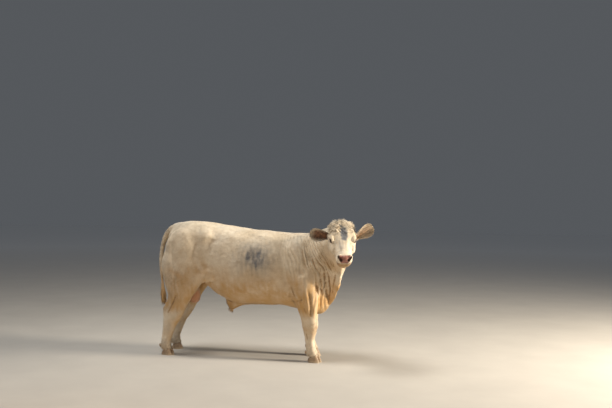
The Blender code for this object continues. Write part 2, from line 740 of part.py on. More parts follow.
def thinned(whole):
    """Brings the flesh down to its number of triangles, with more of them on the head."""
    to_head = np.linalg.norm(coordinates(whole) - np.array(on_head(*HEAD_MIDDLE)), axis=1)
    step = whole.modifiers.new("thin", "DECIMATE")
    step.vertex_group = weigh(whole, np.where(to_head < FINE_RADIUS, 0.30, 1.0))
    step.vertex_group_factor = HEAD_KEEPS
    step.ratio = FLESH_TRIANGLES / (2 * len(whole.data.polygons))
    step.use_collapse_triangulate = True
    applied(whole)
    whole.vertex_groups.clear()
    return whole


def flesh_form():
    """The whole animal's flesh as one closed skin."""
    pieces = [trunk(), tail(), sheath()] + neck() + skull()
    for side in ("near", "far"):
        pieces.append(leg("fore", FORELEG, side))
        pieces.append(leg("hind", HINDLEG, side))
        pieces += [muscle(name, side) for name in MUSCLES]
    return thinned(blended(joined("torso", pieces)))


def foot_frame(part, side):
    """Where a foot stands and the way its toes point."""
    x = FOOT_X[part] - leg_back(part, side)
    turn = Matrix.Rotation(mirrored(side, -TOE_OUT), 4, "Z")
    return Matrix.Translation((x, mirrored(side, -LEG_SIDE), 0.0)) @ turn


def claw(name, part, side, hand):
    """One claw of a cloven hoof, flat under its sole: hand is 1 for the left one and -1 for the right one."""
    rows = []
    for front, front_z, rear, rear_z, wide, round_front, round_rear in CLAW:
        toe_in = -hand * 0.004 * (front_z < 0.05)
        y = hand * CLAW_SIDE
        rows.append((front, y + toe_in, front_z, rear, y, rear_z, wide, 0.45, round_front, round_rear))
    piece = keel(name, rows, 6, 10)
    for vert in piece.data.vertices:
        if vert.co.z < SOLE_FLAT:
            vert.co.z = 0.0
    scale = Matrix.Diagonal((FOOT_SCALE[part],) * 3).to_4x4()
    piece.data.transform(foot_frame(part, side) @ scale)
    return piece


def dewclaws(part, side):
    """The two small claws behind the fetlock."""
    turn = Matrix.Rotation(DEWCLAW_LEAN, 4, "Y")
    pieces = []
    for hand in (-1, 1):
        place = Vector((DEWCLAW_BACK[part], hand * DEWCLAW_SIDE, DEWCLAW_HEIGHT))
        pieces.append(ball("dewclaw", place, DEWCLAW_RADII, turn, 7, 5))
        pieces[-1].data.transform(foot_frame(part, side))
    return pieces


def scrotum():
    """The scrotum, two lobes wide, hanging between the thighs."""
    rows = [(front, 0, height, rear, 0, height, wide, 0.5, 2.2, 2.2) for height, front, rear, wide in SCROTUM]
    piece = keel("scrotum", rows, 11, 16)
    for vert in piece.data.vertices:
        cleft = math.exp(-((vert.co.y / 0.016) ** 2)) * max(0.0, min(1.0, (0.72 - vert.co.z) / 0.10))
        vert.co.x += (SCROTUM_MIDDLE - vert.co.x) * 0.16 * cleft
        vert.co.z += 0.012 * cleft * max(0.0, (0.60 - vert.co.z) / 0.05)
    return piece


def ear(name, side):
    """A cupped ear: a leaf curled about its own length, more at the root than at the tip, with an even thickness."""
    along = np.linspace(0, 1, EAR_ROWS)[:, None]
    across = np.linspace(-1, 1, EAR_COLUMNS)[None, :]
    swell = np.sin(math.pi / 2 * np.minimum(1, along / EAR_WIDEST)) ** 2
    tip = np.clip(along - EAR_TIP_STARTS, 0, 1) / (1.005 - EAR_TIP_STARTS)
    outline = EAR_HALF_WIDTH * (EAR_ROOT_SHARE + (1 - EAR_ROOT_SHARE) * swell)
    outline = outline * np.sqrt(np.clip(1 - tip**2.3, 0.008, 1))
    curl = (EAR_CURL_ROOT - EAR_CURL_TIP) * (1 - along) ** 2 + EAR_CURL_TIP
    radius = outline / curl
    swing = across * curl
    x = EAR_LENGTH * along + 0 * across
    y = radius * np.sin(swing)
    z = radius * (1 - np.cos(swing)) - 0.030 * along**2 * EAR_DROOP[side]
    points = np.stack([x, y, z], axis=2).reshape(-1, 3)
    cell = np.arange(EAR_ROWS - 1)[:, None] * EAR_COLUMNS + np.arange(EAR_COLUMNS - 1)[None, :]
    cell = cell.ravel()
    faces = np.stack([cell, cell + 1, cell + EAR_COLUMNS + 1, cell + EAR_COLUMNS], axis=1).tolist()
    mesh = bpy.data.meshes.new(name)
    mesh.from_pydata(points.tolist(), [], faces)
    obj = bpy.data.objects.new(name, mesh)
    bpy.context.scene.collection.objects.link(obj)
    wall = obj.modifiers.new("wall", "SOLIDIFY")
    wall.thickness = EAR_WALL
    wall.offset = 0.0
    applied(obj)
    obj.data.transform(ear_frame(side))
    return fixed_normals(obj)


def ear_frame(side):
    """Where an ear is rooted, the way it points, and the way its cup opens."""
    hand = 1 if side == "left" else -1
    along, aside, out = EAR_ROOT[side]
    root = on_head(along, hand * aside, out)
    flat = Vector((HEAD[0][1], HEAD[1][1], 0)).normalized() * hand
    point = flat * math.cos(EAR_LIFT[side]) + Vector((0, 0, 1)) * math.sin(EAR_LIFT[side])
    opening = Vector((math.sin(HEAD_TURN), -math.cos(HEAD_TURN), EAR_OPENING_DROP)).normalized()
    point = (point - opening * EAR_SWEEP_BACK).normalized()
    up = opening.cross(point).normalized()
    opening = point.cross(up).normalized()
    frame = Matrix((point, up, opening)).transposed().to_4x4()
    frame.translation = root
    return frame


def fixed_normals(obj):
    """Turns an object's faces outwards."""
    shape = bmesh.new()
    shape.from_mesh(obj.data)
    bmesh.ops.recalc_face_normals(shape, faces=shape.faces)
    shape.to_mesh(obj.data)
    shape.free()
    return obj


def mouth_cutter():
    """A thin plate along the line of the mouth, which runs from one corner round the muzzle to the other."""
    right = [(along, -side, out) for along, side, out in MOUTH]
    left = [(along, side, out) for along, side, out in MOUTH[-2::-1]]
    rows = []
    for along, side, out in right + left:
        inner = (MOUTH_BACK + (along - MOUTH_BACK) * (0.80 if abs(side) < 0.08 else 1.0), side * MOUTH_DEPTH, out)
        rows.append((*on_head(along, side, out), *on_head(*inner), MOUTH_HALF_OPENING, 0.5, 2.0, 2.0))
    return keel("mouth_cutter", rows, 28, 4)


def nostril_cutters(side):
    """The comma of a nostril: a round hole in front and a slit that runs up and back from it."""
    pieces = []
    for (along, aside, out), radii in NOSTRIL:
        pieces.append(head_ball("nostril", (along, side * aside, out), radii, 10, 8))
    return pieces


def eye_opening(side):
    """The almond between the lids, as a cutter along the way the eye looks."""
    look = gaze(side)
    level = Vector((0.94, 0, -0.34)).cross(look).cross(look).normalized()
    rise = look.cross(level).normalized()
    turn = Matrix((level, rise, look)).transposed().to_4x4()
    middle = Vector(eye_place(side)) + look * (EYE_RADIUS + 0.004)
    cutter = ball("eye_opening", Vector((0, 0, 0)), EYE_HALF_OPENING, turn, 16, 10)
    cutter.data.transform(Matrix.Translation(middle))
    cutter.data.transform(HEAD)
    return cutter


def eye(name, side):
    """An eyeball."""
    return head_ball(name, eye_place(side), (EYE_RADIUS,) * 3, 12, 8)


def brow_height(along, side):
    """How far out of the forehead its skin lies at a place on it."""
    rows = np.array([(s, top, low, wide, place, up) for s, top, low, wide, place, up, _ in SKULL])
    top, low, wide, place, power = (np.interp(along, rows[:, 0], rows[:, k]) for k in range(1, 6))
    share = min(0.98, abs(side) / wide)
    return top - place * (1 - (1 - share**power) ** (1 / power)) * (top - low)


def poll_clumps():
    """The curls of the poll and forehead as rounded clumps set close, smaller towards the eyes."""
    dice = np.random.default_rng(SEED)
    clumps = []
    for row, along in enumerate(np.linspace(*CURL_RUN, CURL_ROWS)):
        reach = CURL_HALF_WIDTH - 0.34 * max(0.0, along - 0.055)
        count = max(2, int(round(2 * reach / CURL_SPACING)))
        size = 1.0 - 1.6 * max(0.0, along - 0.04)
        for place in range(count):
            side = (place + 0.5 + 0.25 * (row % 2 * 2 - 1)) / count * 2 - 1
            side = side * reach + dice.uniform(-0.003, 0.003)
            s = along + dice.uniform(-0.004, 0.004)
            radii = np.array(CURL_RADII) * size * dice.uniform(0.88, 1.10, 3)
            clumps.append(head_ball("clump", (s, side, brow_height(s, side) + 0.001), tuple(radii), 6, 4))
    return clumps


def switch_locks():
    """The switch as flat tapered locks that grow from the end of the tail and hang down round it."""
    dice = np.random.default_rng(SEED + 1)
    locks = []
    for index in range(SWITCH_LOCKS):
        share = index / SWITCH_LOCKS
        angle = index * math.radians(137.5)
        start_z = SWITCH_TOP - 0.02 - 0.10 * share
        length = (LOCK_LENGTH + 0.03 * dice.uniform(-1, 1)) * (0.75 + 0.25 * share)
        out = Vector((math.cos(angle), math.sin(angle), 0))
        middle = Vector((tail_middle(start_z), 0, start_z))
        rows = []
        for part in np.linspace(0, 1, 5):
            bulge = 0.008 + 0.016 * math.sin(math.pi * min(1, part * 1.15)) * (1 - 0.4 * part)
            z = start_z - length * part
            base = Vector((tail_middle(max(z, 0.74)) + 0.03 * part * part, 0, z))
            point = base + out * bulge
            thick = (LOCK_HALF_THICKNESS - LOCK_TIP) * (1 - 0.75 * part) + LOCK_TIP
            wide = LOCK_HALF_WIDTH * (1 - 0.70 * part**1.5)
            rows.append((*(point + out * thick), *(point - out * thick), wide, 0.5, 2.0, 2.0))
        locks.append(keel("lock", rows, 5, 4))
    return locks


def tail_middle(height):
    """The x of the tail's middle at a height."""
    rows = sorted((oz, (ox + ix) / 2) for ox, oz, ix, _, _ in TAIL)
    return float(np.interp(height, [row[0] for row in rows], [row[1] for row in rows]))


def slab(name, point, normal, size=5.0):
    """A large box whose one face lies in the plane through a point, on the side that the normal points to."""
    normal = Vector(normal).normalized()
    mesh = bpy.data.meshes.new(name)
    shape = bmesh.new()
    bmesh.ops.create_cube(shape, size=size)
    turn = normal.to_track_quat("Z", "Y").to_matrix().to_4x4()
    bmesh.ops.transform(shape, matrix=Matrix.Translation(Vector(point) + normal * size / 2) @ turn, verts=shape.verts)
    shape.to_mesh(mesh)
    shape.free()
    obj = bpy.data.objects.new(name, mesh)
    bpy.context.scene.collection.objects.link(obj)
    return obj


def carve(flesh, pieces):
    """Cuts each fitted piece, with a thin gap round it, out of the flesh."""
    for piece in pieces:
        wider = grown(triangulated(piece))
        boolean(flesh, wider, "DIFFERENCE")
        remove([wider])
    return keep_largest(flesh)


def cut_away(flesh, cutters):
    """Takes cutters out of the flesh and deletes them."""
    for cutter in cutters:
        boolean(flesh, cutter, "DIFFERENCE")
    remove(cutters)
    return keep_largest(flesh)


def regions():
    """The regions that part the flesh, in the order in which they are taken."""
    fore = [(0.345, 0.690), (0.720, 0.735), (0.820, -0.05), (0.200, -0.05), (0.300, 0.500), (0.352, 0.560)]
    hind = [(-0.600, 0.835), (-1.300, 0.690), (-1.300, -0.05), (-0.560, -0.05), (-0.660, 0.700)]
    back = [(x - 0.04, z) for x, z in fore]
    yield "foreleg_right", prism("region", fore, 1, -0.43, -0.085)
    yield "foreleg_left", prism("region", back, 1, 0.085, 0.43)
    yield "hindleg_right", prism("region", hind, 1, -0.45, -0.030)
    yield "hindleg_left", prism("region", hind, 1, 0.030, 0.45)
    yield "tail", prism("region", [(-1.045, 1.55), (-1.100, 1.30), (-1.130, 1.10), (-1.130, 0.5), (-1.45, 0.5),
                                   (-1.45, 1.55)], 1, -0.075, 0.075)
    yield "muzzle", head_prism("region", [(0.428, 0.10), (0.440, -0.10), (0.468, -0.26), (0.62, -0.26),
                                          (0.62, 0.10)], -0.3, 0.3)
    yield "head", head_prism("region", [(-0.111, 0.12), (0.062, -0.300), (0.150, -0.292), (0.220, -0.276),
                                        (0.300, -0.234), (0.360, -0.206), (0.440, -0.192), (0.60, -0.192),
                                        (0.60, 0.12)], -0.3, 0.3)
    yield "neck", slab("region", (0.560, 0.0, 1.150), (0.96, -0.19, 0.20))


# Colour and roughness of each finish
FINISHES = {
    "coat": ((0.86, 0.80, 0.70), 0.85),
    "muzzle_skin": ((0.80, 0.52, 0.46), 0.45),
    "bare_skin": ((0.74, 0.43, 0.31), 0.60),
    "horn": ((0.42, 0.33, 0.24), 0.45),
    "eye": ((0.035, 0.022, 0.018), 0.08),
    "switch_hair": ((0.80, 0.70, 0.56), 0.80),
}


def finish_of(name):
    """The finish that a node has, by its name."""
    if "claw" in name:
        return "horn"
    if name.startswith("eye"):
        return "eye"
    return {"muzzle": "muzzle_skin", "scrotum": "bare_skin", "tail_switch": "switch_hair"}.get(name, "coat")


def dressed(node):
    """Gives a node its own material."""
    colour, roughness = FINISHES[finish_of(node.name)]
    material = bpy.data.materials.new(node.name)
    material.use_nodes = True
    shader = material.node_tree.nodes["Principled BSDF"]
    shader.inputs["Base Color"].default_value = (*colour, 1.0)
    shader.inputs["Roughness"].default_value = roughness
    shader.inputs["Metallic"].default_value = 0.0
    node.data.materials.clear()
    node.data.materials.append(material)
    return node


def settle(nodes):
    """Moves every node so that the origin lies on the floor under the middle of the bounding box."""
    points = np.concatenate([coordinates(node) for node in nodes])
    low, high = points.min(axis=0), points.max(axis=0)
    shift = Matrix.Translation((-(low[0] + high[0]) / 2, -(low[1] + high[1]) / 2, -low[2]))
    for node in nodes:
        node.data.transform(shift)
        node.data.shade_smooth()
        node.data.set_sharp_from_angle(angle=SHARP_EDGE)


def collect(nodes):
    """Puts the nodes in the animal's own collection."""
    group = bpy.data.collections.new("charolais_bull")
    bpy.context.scene.collection.children.link(group)
    for node in nodes:
        bpy.context.scene.collection.objects.unlink(node)
        group.objects.link(node)


def main():
    """Builds the bull."""
    clear_scene()
    flesh = flesh_form()
    feet = []
    for part in ("fore", "hind"):
        for side in ("near", "far"):
            for hand, which in ((1, "left"), (-1, "right")):
                foot = f"{part}_{'right' if side == 'near' else 'left'}_{which}"
                feet.append(claw(f"claw_{foot}", part, side, hand))
    bag = scrotum()
    eyes = [eye("eye_right", -1), eye("eye_left", 1)]
    ears = [ear("ear_right", "right"), ear("ear_left", "left")]
    openings = [mouth_cutter()]
    for side in (-1, 1):
        openings += nostril_cutters(side) + [eye_opening(side)]
    cut_away(flesh, openings)
    carve(flesh, feet + [bag] + eyes + ears)
    parts = {name: part_off(name, flesh, region) for name, region in regions()}
    for part in ("fore", "hind"):
        for side, hand in (("near", "right"), ("far", "left")):
            union_of_collection(parts[f"{part}leg_{hand}"], dewclaws(part, side))
    union_of_collection(parts["head"], poll_clumps())
    switch_region = slab("region", (0, 0, SWITCH_TOP), (0, 0, -1))
    parts["tail_switch"] = part_off("tail_switch", parts["tail"], switch_region)
    union_of_collection(parts["tail_switch"], switch_locks())
    nodes = [flesh, *parts.values(), *feet, bag, *eyes, *ears]
    settle(nodes)
    for node in nodes:
        dressed(node)
    collect(nodes)


main()
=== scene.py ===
"""Looks of the Charolais bull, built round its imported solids: hide, eyes, claws and coat. Metres, +Z up.

The shapes are worked out in the animal's own frame, in which X = 0 lies under the loin, and moved to the
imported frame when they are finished. The near side of the animal, at -Y, is its right.
"""
import sys

import json
import logging
import math
from dataclasses import dataclass, field
from enum import Enum

import bmesh
import bpy
import numpy as np
from mathutils import Matrix, Vector
from mathutils.kdtree import KDTree

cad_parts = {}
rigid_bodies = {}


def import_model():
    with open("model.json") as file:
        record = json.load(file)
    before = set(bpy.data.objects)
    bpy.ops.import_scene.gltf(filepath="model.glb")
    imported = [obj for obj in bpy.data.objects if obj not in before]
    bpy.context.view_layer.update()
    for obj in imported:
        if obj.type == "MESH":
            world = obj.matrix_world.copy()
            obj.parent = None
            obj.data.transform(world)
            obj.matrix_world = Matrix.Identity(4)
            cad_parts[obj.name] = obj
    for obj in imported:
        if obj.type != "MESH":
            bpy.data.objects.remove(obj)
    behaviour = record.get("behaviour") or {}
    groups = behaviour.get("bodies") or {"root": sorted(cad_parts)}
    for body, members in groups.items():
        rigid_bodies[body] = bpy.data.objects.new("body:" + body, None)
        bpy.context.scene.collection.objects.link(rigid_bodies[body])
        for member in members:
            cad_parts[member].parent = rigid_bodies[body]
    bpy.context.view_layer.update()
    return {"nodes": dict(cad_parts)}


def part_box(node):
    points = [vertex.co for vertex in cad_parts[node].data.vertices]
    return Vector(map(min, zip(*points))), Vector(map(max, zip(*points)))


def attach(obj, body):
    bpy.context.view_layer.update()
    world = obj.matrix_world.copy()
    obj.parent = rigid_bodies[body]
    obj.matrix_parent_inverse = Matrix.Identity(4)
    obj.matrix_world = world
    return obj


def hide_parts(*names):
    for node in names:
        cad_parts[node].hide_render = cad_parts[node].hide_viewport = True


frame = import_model()

Array = np.ndarray
Form = tuple[np.ndarray, np.ndarray]
Piece = bpy.types.Object
Socket = bpy.types.NodeSocket
Place = tuple[float, float, float]
Rows = tuple[tuple[float, ...], ...]
Line = tuple[Rows, float, float]
Colour = tuple[float, float, float, float]
log = logging.getLogger("charolais_bull")


class Side(Enum):
    """The two sides of the animal, by the sign of Y."""

    RIGHT = -1
    LEFT = 1

    @property
    def word(self) -> str:
        """The side's name as the nodes use it."""
        return self.name.lower()

    def place(self, left: Place) -> Array:
        """On this side, a place given for the left one in the head's axes."""
        return np.array(left) * np.array((1, self.value, 1))


class Legs(Enum):
    """The two pairs of legs."""

    FORE = "fore"
    HIND = "hind"


@dataclass(frozen=True)
class HeadAxes:
    """The head's own axes: along the nose, to its left and out of the forehead, from the poll."""

    poll: Place = (0.916, -0.416, 1.502)
    turn: float = math.radians(16.5)
    drop: float = math.radians(43.5)

    def axes(self) -> Array:
        """The three axes as the columns of a matrix."""
        level = np.array((math.sin(self.turn), -math.cos(self.turn), 0.0))
        up = np.array((0.0, 0.0, 1.0))
        nose = level * math.cos(self.drop) - up * math.sin(self.drop)
        brow = level * math.sin(self.drop) + up * math.cos(self.drop)
        return np.stack([nose, np.cross(brow, nose), brow], axis=1)

    def out(self, places: Array) -> Array:
        """Places in the head's axes as points of the animal's frame."""
        return np.array(places, dtype=float) @ self.axes().T + np.array(self.poll)

    def into(self, points: Array) -> Array:
        """Points of the animal's frame as places in the head's axes."""
        return (np.array(points, dtype=float) - np.array(self.poll)) @ self.axes()


HEAD = HeadAxes()
EYE_PLACE = (0.228, 0.11, -0.05)
HEAD_MIDDLE = (0.2, 0.0, -0.13)
CELL_STRIDES = (1, 4099, 16785407)


def rising(value: Array, low: float, high: float) -> Array:
    """A rise from 0 at low to 1 at high: 3t^2 - 2t^3, where t is the share of the way."""
    t = np.clip((value - low) / (high - low), 0, 1)
    return t * t * (3 - 2 * t)


def falling(value: Array, low: float, high: float) -> Array:
    """A fall from 1 at low to 0 at high, the mirror of a rise."""
    return rising(-value, -high, -low)


def band(value: Array, low: float, full: float, full_end: float, end: float) -> Array:
    """A rise from 0 at low to 1 at full, times a fall from full_end to the end."""
    return rising(value, low, full) * falling(value, full_end, end)


def unit(vectors: Array) -> Array:
    """Vectors brought to length 1."""
    return vectors / np.maximum(np.linalg.norm(vectors, axis=-1, keepdims=True), 1e-12)


def dot(first: Array, second: Array) -> Array:
    """The dot products of two sets of vectors, row by row: the sum of the products of their parts."""
    return np.einsum("ij,ij->i", first, second)


def laid_flat(way: Array, ways: Array) -> Array:
    """Directions laid into the planes across the normals: their share along the normal is taken away."""
    return unit(way - ways * dot(way, ways)[:, None])


def turned(way: Array, ways: Array, angle: Array) -> Array:
    """Directions turned about the normals: cos a times the way plus sin a times the way across it."""
    return way * np.cos(angle)[:, None] + np.cross(ways, way) * np.sin(angle)[:, None]


def far_from(points: Array, place: Array) -> Array:
    """How far points lie from a place."""
    return np.linalg.norm(points - place, axis=1)


def wave(value: Array, length: float) -> Array:
    """A sine wave of a length: sin(2 pi value / length)."""
    return np.sin(2 * math.pi * value / length)


def hill(value: Array) -> Array:
    """A hill of height 1 over 0: exp(-value^2)."""
    return np.exp(-(value**2))


def spot(x: Array, z: Array, middle: tuple[float, float], radii: tuple[float, float]) -> Array:
    """A round spot: exp(-u^2 - v^2), u and v the distances from its middle as shares of its radii."""
    return np.exp(-(((x - middle[0]) / radii[0]) ** 2) - ((z - middle[1]) / radii[1]) ** 2)


def cells(places: Array, size: float) -> Array:
    """The number of the grid cell in which each place lies."""
    return np.floor(places / size).astype(np.int64) @ np.array(CELL_STRIDES)


def leaning(angle: float) -> Array:
    """The matrix of a turn about the Y axis: rows (cos, 0, sin), (0, 1, 0) and (-sin, 0, cos)."""
    cos, sin = math.cos(angle), math.sin(angle)
    return np.array(((cos, 0, sin), (0, 1, 0), (-sin, 0, cos)))


def on_ball(polar: Array, around: Array) -> Array:
    """Directions from the middle of a ball: (sin p cos a, sin p sin a, cos p)."""
    level = np.sin(polar)
    return np.stack([level * np.cos(around), level * np.sin(around), np.cos(polar) + 0 * around], axis=2)


def smooth_rows(rows: Array, steps: int) -> Array:
    """Rows of numbers passed through by a Catmull-Rom curve and read at even steps.

    Args:
        rows: one row for each knot.
        steps: how many rows to return.

    Returns:
        The rows of the curve, first and last knot included.
    """
    rows = np.array(rows, dtype=float)
    last = len(rows) - 1
    place = np.linspace(0, last, steps)
    first = np.clip(place.astype(int), 0, last - 1)
    t = (place - first)[:, None]
    before = rows[np.clip(first - 1, 0, last)]
    start = rows[first]
    end = rows[first + 1]
    after = rows[np.clip(first + 2, 0, last)]
    pull_in = (end - before) / 2
    pull_out = (after - start) / 2
    rise = (2 * t**3 - 3 * t**2 + 1) * start + (t**3 - 2 * t**2 + t) * pull_in
    return rise + (3 * t**2 - 2 * t**3) * end + (t**3 - t**2) * pull_out


def outward(form: Form) -> Form:
    """A closed form with its faces turned outwards: the sum of its signed tetrahedra is made positive."""
    points, faces = form
    a, b, c = (points[faces[:, k]] for k in range(3))
    volume = dot(a, np.cross(b, c)).sum()
    return (points, faces[:, ::-1]) if volume < 0 else form


def closed_tube(rings: Array) -> Form:
    """The triangles of a tube through rings of points, closed at each end by a fan round the ring's middle.

    Args:
        rings: the points, as rings x sides x 3.

    Returns:
        The points and the triangles.
    """
    count, sides, _ = rings.shape
    ring, side = np.meshgrid(np.arange(count - 1), np.arange(sides), indexing="ij")
    a = (ring * sides + side).ravel()
    b = (ring * sides + (side + 1) % sides).ravel()
    walls = np.concatenate([np.stack([a, b, b + sides], axis=1), np.stack([a, b + sides, a + sides], axis=1)])
    across = np.arange(sides)
    beside = (across + 1) % sides
    start = np.full(sides, count * sides)
    top = (count - 1) * sides
    low = np.stack([start, beside, across], axis=1)
    high = np.stack([start + 1, top + across, top + beside], axis=1)
    points = np.concatenate([rings.reshape(-1, 3), rings[:1].mean(axis=1), rings[-1:].mean(axis=1)])
    return outward((points, np.concatenate([walls, low, high])))


def keel_rings(rows: Array, steps: int, sides: int) -> Array:
    """Rings of a body that runs between an upper and a lower edge.

    A row holds the upper point, the lower point, the half width, how far down the width is greatest, and the
    roundness above and below there. With angle a, the way down is 1 - |cos a|^(2/n) of the part above the
    widest place, or its like below, and the way out is the half width times |sin a|^(2/n). In an ellipse,
    n is 2.

    Args:
        rows: the rows, of ten numbers each.
        steps: how many rings.
        sides: how many points to a ring.

    Returns:
        The points, as rings x sides x 3.
    """
    fine = smooth_rows(rows, steps)
    upper = fine[:, 0:3]
    lower = fine[:, 3:6]
    half_width, widest, round_up, round_low = (fine[:, 6 + k][:, None] for k in range(4))
    run = np.gradient((upper + lower) / 2, axis=0)
    side = unit(np.cross(run, upper - lower))
    angle = np.linspace(0, 2 * math.pi, sides, endpoint=False)[None, :]
    power = np.where(np.cos(angle) > 0, round_up, round_low)
    reach = np.abs(np.cos(angle)) ** (2 / power)
    down = np.where(np.cos(angle) > 0, widest * (1 - reach), widest + (1 - widest) * reach)
    out = half_width * np.sign(np.sin(angle)) * np.abs(np.sin(angle)) ** (2 / power)
    points = upper[:, None, :] + down[:, :, None] * (lower - upper)[:, None, :]
    return points + out[:, :, None] * side[:, None, :]


def keel(rows: Array, steps: int = 60, sides: int = 48) -> Form:
    """A closed keel loft."""
    return closed_tube(keel_rings(rows, steps, sides))


def ellipsoid(
    centre: Array, radii: Array, turn: Array = np.eye(3), segments: int = 40, rings: int = 26
) -> Form:
    """A closed ellipsoid: radius times (sin p cos a, sin p sin a, cos p), turned and moved to its centre.

    Args:
        centre: its middle.
        radii: its three half axes.
        turn: a matrix whose columns are the axes' directions.
        segments: points round it.
        rings: points from pole to pole.

    Returns:
        The points and the triangles.
    """
    polar = np.linspace(0.02, math.pi - 0.02, rings)[:, None]
    around = np.linspace(0, 2 * math.pi, segments, endpoint=False)[None, :]
    ball = on_ball(polar, around) * np.array(radii, dtype=float)
    return closed_tube(ball @ np.array(turn).T + np.array(centre, dtype=float))


def head_ball(place: Array, radii: Array, segments: int = 32, rings: int = 22) -> Form:
    """A closed ellipsoid given in the head's own axes."""
    return ellipsoid(HEAD.out(np.array(place)), radii, HEAD.axes(), segments, rings)


def joined(forms: list[Form]) -> Form:
    """Several forms as one set of points and triangles."""
    starts = np.cumsum([0] + [len(points) for points, _ in forms[:-1]])
    points = np.concatenate([points for points, _ in forms])
    faces = np.concatenate([faces + start for (_, faces), start in zip(forms, starts)])
    return points, faces


def mesh_object(name: str, form: Form) -> Piece:
    """A new object in the scene from points and triangles.

    Args:
        name: the object's name.
        form: its points and triangles.

    Returns:
        The object, shaded smooth.
    """
    points, faces = form
    mesh = bpy.data.meshes.new(name)
    mesh.vertices.add(len(points))
    mesh.vertices.foreach_set("co", np.ascontiguousarray(points, dtype=np.float32).ravel())
    mesh.loops.add(faces.size)
    mesh.loops.foreach_set("vertex_index", np.ascontiguousarray(faces, dtype=np.int32).ravel())
    mesh.polygons.add(len(faces))
    mesh.polygons.foreach_set("loop_start", np.arange(0, faces.size, 3, dtype=np.int32))
    mesh.update(calc_edges=True)
    mesh.shade_smooth()
    return placed(name, mesh)


def read(items: bpy.types.bpy_prop_collection, what: str, width: int, kind: type = np.int32) -> Array:
    """What a mesh keeps for each of its points, edges, corners or triangles, as rows of numbers."""
    found = np.empty(len(items) * width, kind)
    items.foreach_get(what, found)
    return found.reshape(-1, width)


def coordinates(obj: Piece) -> Array:
    """The points of an object's mesh."""
    return read(obj.data.vertices, "co", 3, np.float32).astype(float)


def normals(obj: Piece) -> Array:
    """The smooth normals at the points of an object's mesh."""
    return read(obj.data.vertex_normals, "vector", 3, np.float32).astype(float)


def triangles(obj: Piece) -> int:
    """How many triangles an object's mesh has."""
    return sum(len(face.vertices) - 2 for face in obj.data.polygons)


def placed(name: str, data: bpy.types.ID) -> Piece:
    """A new object of the scene."""
    obj = bpy.data.objects.new(name, data)
    bpy.context.scene.collection.objects.link(obj)
    return obj


def move_points(obj: Piece, points: Array) -> None:
    """Gives an object's mesh new places for its points."""
    obj.data.vertices.foreach_set("co", points.astype(np.float32).ravel())
    obj.data.update()


def applied(obj: Piece) -> Piece:
    """Replaces an object's mesh with the one that its modifiers give."""
    bpy.context.view_layer.update()
    graph = bpy.context.evaluated_depsgraph_get()
    mesh = bpy.data.meshes.new_from_object(obj.evaluated_get(graph))
    obj.modifiers.clear()
    obj.data = mesh
    return obj


def weigh(obj: Piece, weights: Array) -> str:
    """Gives an object one vertex group with these weights, in steps of a fiftieth.

    Args:
        obj: the object.
        weights: a weight from 0 to 1 for each point.

    Returns:
        The group's name.
    """
    obj.vertex_groups.clear()
    group = obj.vertex_groups.new(name="weight")
    levels = np.round(np.array(weights) * 50) / 50
    for level in np.unique(levels):
        group.add(np.flatnonzero(levels == level).tolist(), float(level), "REPLACE")
    return group.name


def relaxed(obj: Piece, weights: Array, times: int, factor: float = 0.5) -> Piece:
    """Smooths a mesh as strongly as the weights say.

    Args:
        obj: the object.
        weights: a weight from 0 to 1 for each point.
        times: how often.
        factor: how far a point of weight 1 goes to the mean of its neighbours.

    Returns:
        The object.
    """
    step = obj.modifiers.new("relax", "SMOOTH")
    step.factor = factor
    step.iterations = times
    step.vertex_group = weigh(obj, weights)
    applied(obj)
    obj.vertex_groups.clear()
    return obj


def combined(obj: Piece, forms: list[Form], operation: str) -> Piece:
    """Cuts or joins an object with closed forms in one step.

    Args:
        obj: the object to change.
        forms: the closed forms.
        operation: DIFFERENCE or UNION.

    Returns:
        The object.
    """
    group = bpy.data.collections.new("forms")
    bpy.context.scene.collection.children.link(group)
    for index, form in enumerate(forms):
        piece = mesh_object(f"form_{index}", form)
        bpy.context.scene.collection.objects.unlink(piece)
        group.objects.link(piece)
    step = obj.modifiers.new("combine", "BOOLEAN")
    step.operation = operation
    step.operand_type = "COLLECTION"
    step.collection = group
    step.solver = "MANIFOLD"
    applied(obj)
    for piece in list(group.objects):
        bpy.data.objects.remove(piece, do_unlink=True)
    bpy.data.collections.remove(group)
    return obj


def to_line(points: Array, line: Array) -> tuple[Array, Array]:
    """How far points lie from a line of several stretches.

    Args:
        points: the points, in two or three numbers each.
        line: the knots of the line.

    Returns:
        The least distance to the line, and the share of its length at the nearest place.
    """
    line = np.array(line, dtype=float)
    lengths = np.linalg.norm(np.diff(line, axis=0), axis=1)
    before = np.concatenate([[0], np.cumsum(lengths)])
    nearest = np.full(len(points), np.inf)
    share = np.zeros(len(points))
    for start, end, length, so_far in zip(line[:-1], line[1:], lengths, before):
        t = np.clip((points - start) @ (end - start) / length**2, 0, 1)
        distance = np.linalg.norm(points - start - t[:, None] * (end - start), axis=1)
        closer = distance < nearest
        nearest = np.where(closer, distance, nearest)
        share = np.where(closer, (so_far + t * length) / before[-1], share)
    return nearest, share


def soft_noise(points: Array, size: float, seed: int, waves: int = 14) -> Array:
    """A smooth random value at points, about -1 to 1: a sum of sine waves in seeded directions.

    Args:
        points: where to read it.
        size: the length of its features.
        seed: which noise.
        waves: how many sine waves to sum.

    Returns:
        The values.
    """
    dice = np.random.default_rng(seed)
    ways = unit(dice.normal(size=(waves, 3))) * (2 * math.pi / size) * dice.uniform(0.6, 1.5, (waves, 1))
    waved = np.sin(points @ ways.T + dice.uniform(0, 2 * math.pi, waves)).sum(axis=1)
    return waved * math.sqrt(2 / waves) / 1.6


